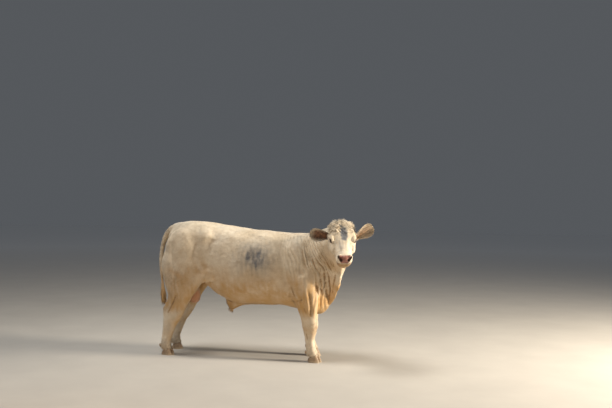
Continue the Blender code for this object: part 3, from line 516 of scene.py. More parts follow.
def evened(values: Array, pairs: Array, rounds: int) -> Array:
    """Values at points, each brought to the mean of its neighbours' values again and again.

    Args:
        values: a row for each point.
        pairs: the numbers of two neighbours in each row.
        rounds: how often.

    Returns:
        The evened values.
    """
    start, end = np.concatenate([pairs, pairs[:, ::-1]]).T
    number = np.maximum(np.bincount(start, minlength=len(values)), 1)
    for _ in range(rounds):
        sums = [np.bincount(start, column[end], len(values)) for column in values.T]
        values = np.stack(sums, axis=1) / number[:, None]
    return values


def shift_to_frame() -> Array:
    """The move from the animal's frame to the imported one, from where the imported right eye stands."""
    low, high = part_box("eye_right")
    return (np.array(low) + np.array(high)) / 2 - HEAD.out(Side.RIGHT.place(EYE_PLACE))


SHIFT = shift_to_frame()


def finished(obj: Piece, stands_for: list[str]) -> Piece:
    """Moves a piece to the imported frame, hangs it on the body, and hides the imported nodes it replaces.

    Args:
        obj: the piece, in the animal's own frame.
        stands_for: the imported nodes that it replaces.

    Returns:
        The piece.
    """
    obj.data.transform(Matrix.Translation(Vector(SHIFT)))
    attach(obj, "root")
    if stands_for:
        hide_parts(*stands_for)
    log.info("%s: %d triangles", obj.name, triangles(obj))
    return obj


@dataclass(frozen=True)
class Trunk:
    """The barrel, loin and rump, and the sheath and tail that grow from them.

    Barrel rows: x, top, bottom, half width, place of the greatest width, roundness above and below.
    Tail rows: outer edge x and z, inner edge x and z, half width.
    Sheath rows: x, upper and lower height, half width. Scrotum rows: height, front, rear, half width.
    """

    barrel: Rows = (
        (-1.085, 1.365, 1.21, 0.06, 0.5, 2, 2),
        (-1.035, 1.422, 1.08, 0.145, 0.45, 2, 2),
        (-0.95, 1.458, 0.96, 0.215, 0.42, 2.2, 2),
        (-0.83, 1.474, 0.88, 0.262, 0.4, 2.4, 2),
        (-0.7, 1.47, 0.8, 0.28, 0.4, 2.6, 2),
        (-0.56, 1.45, 0.69, 0.284, 0.43, 2.6, 2),
        (-0.42, 1.434, 0.61, 0.298, 0.47, 2.5, 2),
        (-0.25, 1.41, 0.572, 0.327, 0.5, 2.3, 2.1),
        (-0.05, 1.39, 0.572, 0.345, 0.51, 2.2, 2.1),
        (0.13, 1.372, 0.572, 0.337, 0.51, 2.1, 2.1),
        (0.28, 1.362, 0.56, 0.306, 0.51, 2, 2.1),
        (0.42, 1.362, 0.525, 0.276, 0.52, 1.9, 2.1),
        (0.54, 1.35, 0.492, 0.24, 0.54, 1.9, 2),
        (0.64, 1.24, 0.492, 0.19, 0.56, 2, 1.9),
        (0.715, 1.02, 0.555, 0.115, 0.52, 2, 1.8),
        (0.745, 0.9, 0.66, 0.04, 0.5, 2, 2),
    )
    tail: Rows = (
        (-0.96, 1.462, -0.95, 1.36, 0.05),
        (-1.02, 1.456, -1, 1.36, 0.047),
        (-1.08, 1.432, -1.035, 1.345, 0.04),
        (-1.135, 1.388, -1.075, 1.325, 0.034),
        (-1.182, 1.31, -1.118, 1.28, 0.03),
        (-1.213, 1.215, -1.153, 1.205, 0.027),
        (-1.228, 1.11, -1.175, 1.108, 0.025),
        (-1.231, 1, -1.184, 1, 0.023),
        (-1.225, 0.89, -1.182, 0.892, 0.021),
        (-1.212, 0.79, -1.174, 0.794, 0.019),
        (-1.2, 0.725, -1.17, 0.728, 0.015),
    )
    sheath: Rows = (
        (-0.06, 0.64, 0.59, 0.03),
        (-0.15, 0.64, 0.562, 0.042),
        (-0.23, 0.64, 0.548, 0.05),
        (-0.3, 0.64, 0.522, 0.046),
        (-0.35, 0.64, 0.497, 0.036),
        (-0.378, 0.64, 0.493, 0.028),
        (-0.405, 0.64, 0.52, 0.026),
        (-0.44, 0.66, 0.575, 0.02),
    )
    scrotum: Rows = (
        (0.9, -0.785, -0.835, 0.022),
        (0.83, -0.78, -0.84, 0.028),
        (0.76, -0.768, -0.85, 0.038),
        (0.705, -0.752, -0.863, 0.053),
        (0.655, -0.741, -0.873, 0.064),
        (0.61, -0.74, -0.874, 0.066),
        (0.578, -0.753, -0.862, 0.056),
        (0.56, -0.775, -0.843, 0.038),
        (0.553, -0.797, -0.823, 0.016),
    )
    scrotum_middle: float = -0.807

    def bag(self) -> Form:
        """The scrotum: a keel whose middle is drawn in by a cleft exp(-(y / 16 mm)^2) deep."""
        rows = [(front, 0, z, rear, 0, z, wide, 0.5, 2.2, 2.2) for z, front, rear, wide in self.scrotum]
        points, faces = keel(rows, 40, 40)
        cleft = hill(points[:, 1] / 0.016) * np.clip((0.72 - points[:, 2]) / 0.1, 0, 1)
        points[:, 0] += (self.scrotum_middle - points[:, 0]) * 0.16 * cleft
        points[:, 2] += 0.012 * cleft * np.maximum(0, (0.6 - points[:, 2]) / 0.05)
        return points, faces

    def forms(self) -> list[Form]:
        """The closed forms of the trunk."""
        barrel = [(x, 0, top, x, 0, low, *rest) for x, top, low, *rest in self.barrel]
        tail = [(ox, 0, oz, ix, 0, iz, wide, 0.5, 2.0, 2.0) for ox, oz, ix, iz, wide in self.tail]
        sheath = [(x, 0, up, x, 0, low, wide, 0.5, 2.0, 1.7) for x, up, low, wide in self.sheath]
        return [keel(barrel, 120, 80), keel(tail, 90, 32), keel(sheath, 40, 32), self.bag()]

    def tail_middle(self, height: Array) -> Array:
        """The x of the tail's middle at a height."""
        rows = np.array(sorted((oz, (ox + ix) / 2) for ox, oz, ix, _, _ in self.tail))
        return np.interp(height, rows[:, 0], rows[:, 1])


@dataclass(frozen=True)
class Neck:
    """The neck with its crest and dewlap, and the folds of loose skin down its sides.

    Rows: crest point, throat point, half width, place of the greatest width, roundness above and below.
    Fold lines: the share of the neck's length that each has reached at the fold depths, which are shares of
    its depth. The fold counts say how many folds lie between one line and the next.
    """

    rows: Rows = (
        (0.33, 0, 1.335, 0.5, 0, 0.545, 0.225, 0.4, 1.9, 1.7),
        (0.48, -0.015, 1.362, 0.68, -0.005, 0.545, 0.218, 0.4, 1.9, 1.4),
        (0.6, -0.075, 1.388, 0.785, -0.05, 0.64, 0.194, 0.38, 1.9, 1.2),
        (0.71, -0.165, 1.424, 0.845, -0.14, 0.775, 0.168, 0.37, 1.9, 1.15),
        (0.8, -0.262, 1.458, 0.888, -0.245, 0.915, 0.15, 0.38, 1.9, 1.25),
        (0.862, -0.335, 1.48, 0.915, -0.345, 1.05, 0.135, 0.42, 2, 1.5),
        (0.9, -0.385, 1.485, 0.925, -0.425, 1.14, 0.116, 0.46, 2, 1.8),
    )
    fold_depths: tuple[float, ...] = (0.06, 0.2, 0.38, 0.6, 0.78, 0.92)
    fold_lines: Rows = (
        (0.11, 0.14, 0.17, 0.2, 0.21, 0.2),
        (0.18, 0.24, 0.29, 0.32, 0.33, 0.31),
        (0.25, 0.33, 0.43, 0.48, 0.47, 0.37),
        (0.32, 0.43, 0.51, 0.56, 0.55, 0.45),
        (0.38, 0.48, 0.57, 0.61, 0.61, 0.51),
        (0.48, 0.57, 0.66, 0.71, 0.69, 0.59),
        (0.61, 0.68, 0.75, 0.79, 0.78, 0.69),
        (0.8, 0.84, 0.88, 0.91, 0.9, 0.84),
    )
    fold_counts: tuple[int, ...] = (2, 2, 2, 1, 2, 2, 2)
    fold_depth: float = 0.02

    def forms(self) -> list[Form]:
        """The closed form of the neck."""
        return [keel(self.rows, 80, 64)]

    def places(self, points: Array) -> tuple[Array, Array, Array]:
        """Where points lie on the neck, between the planes of its rows.

        Args:
            points: points of the animal's frame.

        Returns:
            Shares of the neck's length and depth, and how far each point lies from the neck's own surface.
        """
        steps, sides = 120, 48
        tree = KDTree(steps * sides)
        for index, point in enumerate(keel_rings(self.rows, steps, sides).reshape(-1, 3).tolist()):
            tree.insert(point, index)
        tree.balance()
        found = [tree.find(point)[1:] for point in points.tolist()]
        row = np.array([index for index, _ in found]) // sides
        far = np.array([distance for _, distance in found])
        fine = smooth_rows(self.rows, steps)
        upper, axis = fine[:, 0:3], fine[:, 3:6] - fine[:, 0:3]
        run = np.gradient(upper + axis / 2, axis=0)
        ahead = unit(np.cross(axis, np.cross(run, axis)))
        here = dot(points - upper[row], ahead[row])
        step = np.where(here > 0, 1, -1)
        other = np.clip(row + step, 0, steps - 1)
        there = dot(points - upper[other], ahead[other])
        gap = np.where(np.abs(here - there) < 1e-9, 1e-9, here - there)
        along = (row + step * np.clip(here / gap, 0, 1)) / (steps - 1)
        down = dot(points - upper[row], axis[row]) / dot(axis[row], axis[row])
        return along, down, far

    def fold_height(self, along: Array, down: Array) -> Array:
        """The height of the loose skin: round ridges, sharp valleys, |sin(pi q)|^0.6 of the fold number q.

        The fold number rises by each count between two fold lines. The ridges differ in height.

        Args:
            along: shares of the neck's length.
            down: shares of its depth.

        Returns:
            The height over the valleys, in metres, half as much again towards the dewlap.
        """
        number = self.fold_number(along, down)
        size = self.fold_depth * (0.86 + 0.2 * np.cos(2.2 * np.floor(number)))
        ridge = (np.abs(np.sin(math.pi * number)) + 1e-9) ** 0.6
        return size * (1 + 0.4 * rising(down, 0.45, 0.75)) * ridge

    def fold_number(self, along: Array, down: Array) -> Array:
        """How many folds lie before each place, counted along the neck from the head."""
        lines = np.stack([np.interp(down, self.fold_depths, line) for line in self.fold_lines], axis=1)
        steps = np.clip((along[:, None] - lines[:, :-1]) / np.diff(lines, axis=1), 0, 1)
        return steps @ np.array(self.fold_counts)

    def looseness(self, points: Array, along: Array, down: Array, far: Array) -> Array:
        """How loose the neck's skin is at points, from their places on the neck: 0 to 1."""
        loose = falling(far, 0.025, 0.08) * rising(along, 0.08, 0.22) * rising(down, 0.02, 0.14)
        loose *= rising(points[:, 2], 0.88, 1.02) * falling(along, 0.64, 0.84)
        return loose * falling(down, 0.78, 0.95) * (1 - head_nearness(points, 0.22, 0.3))

    def places_near(self, points: Array, pairs: Array, rounds: int) -> tuple[Array, Array]:
        """The points near the neck and their places on it, evened out.

        Args:
            points: the points of a skin.
            pairs: the numbers of its neighbouring points.
            rounds: how often the places are evened.

        Returns:
            The numbers of the points, and along, down and far for each.
        """
        near = np.flatnonzero((points[:, 0] > 0.36) & (points[:, 2] > 0.5))
        number = np.full(len(points), -1)
        number[near] = np.arange(len(near))
        inside = number[pairs]
        inside = inside[(inside >= 0).all(axis=1)]
        return near, evened(np.stack(self.places(points[near]), axis=1), inside, rounds).T

    def valleys(self, points: Array, pairs: Array) -> Array:
        """How far each point of a skin lies in a valley between the folds.

        Args:
            points: the points.
            pairs: the numbers of its neighbouring points.

        Returns:
            1 at the bottom of a valley, 0 on the ridges and off the neck.
        """
        found = np.zeros(len(points))
        near, (along, down, far) = self.places_near(points, pairs, 9)
        ridge = np.abs(np.sin(math.pi * self.fold_number(along, down)))
        found[near] = falling(ridge, 0.1, 0.62) * self.looseness(points[near], along, down, far)
        return found


@dataclass(frozen=True)
class Skull:
    """The head from poll to muzzle.

    Rows: along the nose, top, bottom, half width, widest place, two roundnesses.
    """

    rows: Rows = (
        (-0.048, -0.04, -0.17, 0.062, 0.45, 2, 2),
        (-0.025, -0.01, -0.205, 0.102, 0.4, 2.4, 2),
        (0.02, 0.006, -0.235, 0.125, 0.36, 2.7, 2),
        (0.075, 0.012, -0.26, 0.134, 0.34, 2.9, 2),
        (0.135, 0.012, -0.275, 0.14, 0.32, 3, 2),
        (0.19, 0.004, -0.272, 0.142, 0.36, 3, 2.1),
        (0.245, -0.008, -0.256, 0.131, 0.42, 2.6, 2.2),
        (0.3, -0.016, -0.228, 0.107, 0.46, 2.3, 2.3),
        (0.355, -0.018, -0.204, 0.086, 0.48, 2.3, 2.4),
        (0.405, -0.016, -0.194, 0.076, 0.47, 2.5, 2.4),
        (0.44, -0.016, -0.19, 0.077, 0.44, 2.6, 2.3),
        (0.468, -0.022, -0.184, 0.077, 0.42, 2.6, 2.2),
        (0.49, -0.04, -0.158, 0.067, 0.42, 2.4, 2),
        (0.5, -0.062, -0.132, 0.043, 0.45, 2, 2),
    )
    paired: tuple[tuple[Place, Place], ...] = (
        ((0.175, 0.1, -0.165), (0.11, 0.044, 0.09)),
        ((0.206, 0.112, -0.03), (0.052, 0.028, 0.026)),
        ((0.264, 0.098, -0.09), (0.09, 0.032, 0.045)),
        ((0.456, 0.05, -0.042), (0.032, 0.032, 0.028)),
        ((0.122, 0.118, -0.088), (0.058, 0.036, 0.044)),
        ((0.432, 0.058, -0.09), (0.058, 0.028, 0.03)),
    )
    middle: tuple[tuple[Place, Place], ...] = (
        ((0.468, 0.0, -0.05), (0.034, 0.052, 0.036)),
        ((0.442, 0.0, -0.152), (0.048, 0.05, 0.046)),
    )
    mouth: tuple[Place, ...] = (
        (0.345, 0.09, -0.126),
        (0.4, 0.092, -0.116),
        (0.445, 0.092, -0.106),
        (0.488, 0.074, -0.097),
        (0.515, 0.034, -0.092),
        (0.522, 0, -0.091),
    )
    mouth_half_opening: float = 0.0024
    nostril_middle: Place = (0.476, 0.05, -0.036)
    nostril: tuple[tuple[Place, Place], ...] = (
        ((0.486, 0.038, -0.049), (0.026, 0.015, 0.0165)),
        ((0.484, 0.042, -0.044), (0.025, 0.014, 0.0155)),
        ((0.48, 0.046, -0.04), (0.024, 0.013, 0.0145)),
        ((0.476, 0.051, -0.036), (0.023, 0.012, 0.013)),
        ((0.471, 0.056, -0.031), (0.022, 0.011, 0.011)),
        ((0.465, 0.061, -0.027), (0.021, 0.01, 0.0085)),
    )

    def forms(self) -> list[Form]:
        """The closed forms of the head."""
        edges = np.array(self.rows)
        upper = HEAD.out(np.stack([edges[:, 0], 0 * edges[:, 0], edges[:, 1]], axis=1))
        lower = HEAD.out(np.stack([edges[:, 0], 0 * edges[:, 0], edges[:, 2]], axis=1))
        forms = [keel(np.concatenate([upper, lower, edges[:, 3:]], axis=1), 90, 72)]
        for side in Side:
            forms += [head_ball(side.place(place), radii) for place, radii in self.paired]
        return forms + [head_ball(place, radii) for place, radii in self.middle]

    def mouth_line(self) -> Array:
        """The line of the mouth round the muzzle, from the right corner to the left, in the head's axes."""
        half = np.array(self.mouth)
        right = half * np.array((1, -1, 1))
        return np.concatenate([right, half[-2::-1]])

    def mouth_cutter(self) -> Form:
        """A thin plate under the line of the mouth, 0.72 of its half width deep."""
        line = self.mouth_line()
        draw = np.where(np.abs(line[:, 1]) < 0.08, 0.8, 1.0)
        inner = np.stack([0.345 + (line[:, 0] - 0.345) * draw, line[:, 1] * 0.72, line[:, 2]], axis=1)
        rest = np.tile((self.mouth_half_opening, 0.5, 2.0, 2.0), (len(line), 1))
        return keel(np.concatenate([HEAD.out(line), HEAD.out(inner), rest], axis=1), 60, 6)

    def nostrils(self) -> list[Form]:
        """The commas of the nostrils: a round hole in front and a slit up and back from it."""
        return [head_ball(side.place(place), radii, 28, 18) for side in Side for place, radii in self.nostril]


@dataclass(frozen=True)
class Limbs:
    """The legs and the muscle masses of both sides.

    Leg rows: height, middle, half depth, half width, place of the greatest width, roundness in front and
    behind. Masses: centre, radii, lean of the lower end in degrees, and how far back the left one lies.
    """

    foreleg: Rows = (
        (0.92, 0.47, 0.13, 0.08, 0.45, 2, 2),
        (0.8, 0.478, 0.14, 0.084, 0.45, 2, 2),
        (0.7, 0.5, 0.142, 0.078, 0.42, 2.1, 1.8),
        (0.62, 0.512, 0.132, 0.07, 0.42, 2.1, 1.8),
        (0.55, 0.522, 0.118, 0.064, 0.44, 2.2, 1.9),
        (0.49, 0.534, 0.102, 0.062, 0.45, 2.3, 2),
        (0.43, 0.548, 0.093, 0.07, 0.45, 2.6, 2),
        (0.38, 0.551, 0.09, 0.068, 0.45, 2.6, 2),
        (0.335, 0.553, 0.079, 0.058, 0.45, 2.4, 2),
        (0.28, 0.554, 0.064, 0.047, 0.48, 2.3, 2.2),
        (0.23, 0.552, 0.054, 0.042, 0.48, 2.3, 2.2),
        (0.18, 0.559, 0.053, 0.042, 0.48, 2.3, 2.2),
        (0.135, 0.568, 0.059, 0.049, 0.48, 2.3, 2.2),
        (0.1, 0.578, 0.063, 0.055, 0.5, 2.3, 2.2),
        (0.078, 0.585, 0.06, 0.055, 0.5, 2.3, 2.2),
        (0.062, 0.591, 0.05, 0.046, 0.5, 2.3, 2.4),
        (0.046, 0.596, 0.034, 0.032, 0.5, 2.3, 2.4),
    )
    hindleg: Rows = (
        (0.98, -0.905, 0.17, 0.1, 0.45, 2, 2),
        (0.88, -0.885, 0.215, 0.104, 0.42, 2, 1.9),
        (0.8, -0.877, 0.215, 0.102, 0.4, 1.9, 1.8),
        (0.73, -0.888, 0.19, 0.094, 0.4, 1.9, 1.7),
        (0.665, -0.903, 0.155, 0.082, 0.38, 1.9, 1.6),
        (0.605, -0.926, 0.146, 0.07, 0.34, 2, 1.3),
        (0.55, -0.957, 0.149, 0.061, 0.32, 2, 1.2),
        (0.5, -0.98, 0.149, 0.058, 0.34, 2.1, 1.4),
        (0.45, -0.99, 0.134, 0.06, 0.38, 2.2, 1.7),
        (0.39, -1.004, 0.112, 0.057, 0.42, 2.2, 1.9),
        (0.33, -1.025, 0.089, 0.05, 0.44, 2.2, 2),
        (0.27, -1.038, 0.076, 0.046, 0.46, 2.2, 2.1),
        (0.21, -1.052, 0.066, 0.044, 0.48, 2.2, 2.2),
        (0.155, -1.063, 0.058, 0.048, 0.48, 2.2, 2.2),
        (0.112, -1.064, 0.062, 0.054, 0.5, 2.2, 2.2),
        (0.078, -1.056, 0.058, 0.053, 0.5, 2.2, 2.2),
        (0.06, -1.051, 0.048, 0.044, 0.5, 2.2, 2.4),
        (0.044, -1.047, 0.032, 0.03, 0.5, 2.2, 2.4),
    )
    masses: tuple[tuple[Place, Place, float, float], ...] = (
        ((-0.855, -0.185, 1.15), (0.235, 0.125, 0.25), 0, 0.0),
        ((-0.95, -0.175, 0.98), (0.182, 0.13, 0.265), 0, 0.01),
        ((-0.83, -0.205, 0.96), (0.205, 0.112, 0.25), 8, 0.01),
        ((-0.915, -0.08, 0.98), (0.15, 0.105, 0.19), 0, 0.0),
        ((-0.73, -0.208, 0.87), (0.105, 0.088, 0.15), 25, 0.02),
        ((-0.62, -0.225, 0.915), (0.13, 0.045, 0.11), 20, 0.0),
        ((-0.62, -0.19, 1.295), (0.14, 0.092, 0.105), 0, 0.0),
        ((-1.03, -0.1, 1.29), (0.06, 0.055, 0.08), 0, 0.0),
        ((0.4, -0.15, 1.04), (0.17, 0.125, 0.27), -22, 0.0),
        ((0.6, -0.1, 1.13), (0.16, 0.115, 0.2), 0, 0.0),
        ((0.635, -0.1, 0.9), (0.115, 0.105, 0.19), 0, 0.0),
        ((0.545, -0.165, 0.93), (0.14, 0.11, 0.18), 0, 0.0),
        ((0.44, -0.2, 0.8), (0.125, 0.092, 0.165), 12, 0.03),
        ((0.505, -0.205, 0.66), (0.105, 0.074, 0.13), 0, 0.06),
        ((0.59, -0.085, 0.76), (0.11, 0.115, 0.18), 0, 0.0),
    )
    stance: float = 0.195
    toe_out: float = math.radians(16)
    left_fore_back: float = 0.08
    left_hind_back: float = 0.04
    fore_foot: float = 0.607
    hind_foot: float = -1.04
    hind_scale: float = 0.95

    def back(self, legs: Legs, side: Side) -> float:
        """How far back a leg stands compared with the right one."""
        if side is Side.RIGHT:
            return 0.0
        return self.left_fore_back if legs is Legs.FORE else self.left_hind_back

    def leg(self, legs: Legs, side: Side) -> Form:
        """A leg, turned out from the elbow or stifle down.

        Args:
            legs: the pair.
            side: the leg of the pair.

        Returns:
            The closed form.
        """
        rows = np.array(self.foreleg if legs is Legs.FORE else self.hindleg)
        height, middle, depth = rows[:, 0], rows[:, 1], rows[:, 2]
        turn = self.toe_out * np.clip((0.78 - height) / 0.25, 0, 1)
        x = middle - self.back(legs, side) * np.clip((1.0 - height) / 0.6, 0, 1)
        y = side.value * (self.stance + 0.035 * np.maximum(0, height - 0.5))
        dx, dy = depth * np.cos(turn), side.value * depth * np.sin(turn)
        front = np.stack([x + dx, y + dy, height], axis=1)
        rear = np.stack([x - dx, y - dy, height], axis=1)
        return keel(np.concatenate([front, rear, rows[:, 3:]], axis=1), 110, 40)

    def forms(self) -> list[Form]:
        """The closed forms of the legs and masses."""
        forms = [self.leg(legs, side) for legs in Legs for side in Side]
        for (x, y, z), radii, lean, back in self.masses:
            turn = leaning(math.radians(lean))
            for side in Side:
                shift = back if side is Side.LEFT else 0.0
                forms.append(ellipsoid((x - shift, -side.value * y, z), radii, turn))
        return forms

    def foot(self, legs: Legs, side: Side) -> tuple[Array, Array]:
        """Where a foot stands, and its axes as rows: the way the toes point, to the left, and up."""
        x = self.fore_foot if legs is Legs.FORE else self.hind_foot
        turn = side.value * self.toe_out
        cos, sin = math.cos(turn), math.sin(turn)
        axes = np.array(((cos, sin, 0), (-sin, cos, 0), (0, 0, 1)))
        return np.array((x - self.back(legs, side), side.value * self.stance, 0.0)), axes


@dataclass(frozen=True)
class Ear:
    """A cupped ear: a thin leaf curled about its own length, more at the root than at the tip."""

    side: Side
    root: Place
    lift: float
    droop: float
    length: float = 0.235
    half_width: float = 0.07
    wall: float = 0.0064
    opening_drop: float = -0.15
    sweep_back: float = 0.1
    tip_sag: float = 0.03

    def frame(self) -> tuple[Array, Array]:
        """The root, and the axes as rows: the way the ear points, across it, and out of its cup."""
        axes = HEAD.axes()
        aside = unit(axes[:, 1] * np.array((1, 1, 0))) * self.side.value
        point = aside * math.cos(self.lift) + np.array((0, 0, 1)) * math.sin(self.lift)
        opening = unit(np.array((math.sin(HEAD.turn), -math.cos(HEAD.turn), self.opening_drop)))
        point = unit(point - opening * self.sweep_back)
        across = unit(np.cross(opening, point))
        return HEAD.out(self.side.place(self.root)), np.stack([point, across, np.cross(point, across)])

    def local(self, points: Array) -> Array:
        """Points in the ear's own axes, from its root."""
        root, axes = self.frame()
        return (points - root) @ axes.T

    def bend(self, along: Array) -> tuple[Array, Array]:
        """The radius of the arc to which the leaf is bent and half its angle, at shares of the length."""
        outline = self.half_width * (0.68 + 0.32 * np.sin(math.pi / 2 * np.minimum(1, along / 0.55)) ** 2)
        outline = outline * np.sqrt(np.clip(1 - (np.clip(along - 0.58, 0, 1) / 0.425) ** 2.3, 0.008, 1))
        curl = math.radians(90) * (1 - along) ** 2 + math.radians(40)
        return outline / curl, curl

    def sag(self, along: Array) -> Array:
        """How far the leaf hangs down at shares u of its length: the tip's sag times the droop times u^2."""
        return self.tip_sag * along**2 * self.droop

    def leaf(self, along: Array, across: Array) -> Array:
        """Points of the ear's middle surface.

        With u the share of the length and v from -1 to 1 across, the leaf is bent to an arc of radius
        r = w / c, w its half width at u and c the curl there: (L u, r sin(v c), r (1 - cos(v c))).

        Args:
            along: shares of the length.
            across: places across, from -1 to 1.

        Returns:
            The points in the animal's frame.
        """
        radius, curl = self.bend(along)
        x = self.length * along + 0 * across
        y = radius * np.sin(across * curl)
        z = radius * (1 - np.cos(across * curl)) - self.sag(along)
        root, axes = self.frame()
        return np.stack([x, y, z], axis=-1) @ axes + root

    def face(self, along: Array, across: Array) -> Array:
        """The direction into the cup at places of the leaf: the cross product of its two slopes."""
        step = 1e-4
        du = self.leaf(along + step, across) - self.leaf(along - step, across)
        dv = self.leaf(along, across + step) - self.leaf(along, across - step)
        return unit(np.cross(du, dv))

    def shell(self, rows: int = 72, columns: int = 25) -> Form:
        """The ear as a closed shell: the leaf moved out and in by half its wall, thinned to its rims.

        Args:
            rows: rings along the ear.
            columns: points across one face.

        Returns:
            The points and the triangles.
        """
        along = np.tile(np.linspace(0.0, 0.998, rows)[:, None], (1, columns))
        across = np.tile(np.sin(np.linspace(-math.pi / 2, math.pi / 2, columns)), (rows, 1))
        middle, face = self.leaf(along, across), self.face(along, across)
        half = self.wall / 2 * np.sqrt(np.clip(1 - across**4, 0.0, 1)) * (1.25 - 0.55 * along)
        inner, outer = middle + face * half[..., None], middle - face * half[..., None]
        return closed_tube(np.concatenate([outer, inner[:, -2:0:-1]], axis=1))


@dataclass(frozen=True)
class Eye:
    """An eyeball with its cornea, the opening between its lids and its lashes."""

    side: Side
    radius: float = 0.0205
    lid_radius: float = 0.025
    cornea_rise: float = 0.0016
    half_opening: tuple[float, float] = (0.0195, 0.0135)

    def place(self) -> Array:
        """The middle of the eyeball in the head's axes."""
        return self.side.place(EYE_PLACE)

    def axes(self) -> Array:
        """Along the opening, across it and the way the eye looks, as columns, in the head's axes."""
        look = unit(np.array((0.42, self.side.value * 0.7, 0.57)))
        level = unit(np.cross(np.cross(np.array((0.94, 0, -0.34)), look), look))
        return np.stack([level, np.cross(look, level), look], axis=1)

    def lid(self) -> Form:
        """The ball of the lids."""
        return head_ball(self.place(), (self.lid_radius,) * 3)

    def opening(self) -> Form:
        """The almond between the lids."""
        middle = self.place() + self.axes()[:, 2] * (self.radius + 0.004)
        radii = (self.half_opening[0], self.half_opening[1], 0.016)
        return ellipsoid(HEAD.out(middle), radii, HEAD.axes() @ self.axes(), 48, 24)

    def pocket(self) -> Form:
        """The hollow that holds the eyeball, a little larger than it."""
        return head_ball(self.place(), (self.radius + 0.0006,) * 3, 40, 26)

    def ball(self) -> tuple[Form, Array]:
        """The eyeball: a sphere whose front, within 40 degrees of the gaze, rises by a cosine to the cornea.

        Returns:
            The form, and for each point its place in the eye's axes as shares of the radius.
        """
        polar = np.linspace(0.01, math.pi - 0.01, 48)[:, None]
        around = np.linspace(0, 2 * math.pi, 64, endpoint=False)[None, :]
        rise = self.cornea_rise * np.cos(np.clip(polar / 0.7, 0, 1) * math.pi / 2) ** 1.5
        rings = on_ball(polar, around) * (self.radius + rise)[..., None]
        rings = HEAD.out(rings @ self.axes().T + self.place())
        form = closed_tube(rings)
        return form, (HEAD.into(form[0]) - self.place()) @ self.axes() / self.radius

    def rim(self, share: Array) -> Array:
        """Points on the edge of the opening, just in front of the eyeball, for shares of the way round."""
        angle = 2 * math.pi * share
        across = np.stack([np.cos(angle), np.sin(angle)], axis=1) * np.array(self.half_opening) * 0.97
        depth = np.sqrt((self.lid_radius + 0.0005) ** 2 - (across**2).sum(axis=1))
        return HEAD.out(np.concatenate([across, depth[:, None]], axis=1) @ self.axes().T + self.place())

    def make(self, finish: "EyeFinish") -> Piece:
        """Builds and dresses the eyeball."""
        form, places = self.ball()
        name = f"eyeball_{self.side.word}"
        obj = mesh_object(name, form)
        store(obj, "cornea", places, "FLOAT_VECTOR")
        obj.data.materials.append(finish.material(name))
        return finished(obj, [f"eye_{self.side.word}"])


def store(obj: Piece, name: str, values: Array, kind: str) -> None:
    """Keeps a value for each point of a mesh as an attribute: FLOAT, FLOAT_VECTOR or FLOAT_COLOR."""
    attribute = obj.data.attributes.new(name, kind, "POINT")
    socket = {"FLOAT": "value", "FLOAT_VECTOR": "vector", "FLOAT_COLOR": "color"}[kind]
    attribute.data.foreach_set(socket, np.array(values, dtype=np.float32).ravel())


EARS = {
    Side.LEFT: Ear(Side.LEFT, (0.155, 0.116, -0.086), math.radians(30), 0.0),
    Side.RIGHT: Ear(Side.RIGHT, (0.112, 0.09, -0.096), math.radians(4), 0.3),
}
EYES = {side: Eye(side) for side in Side}


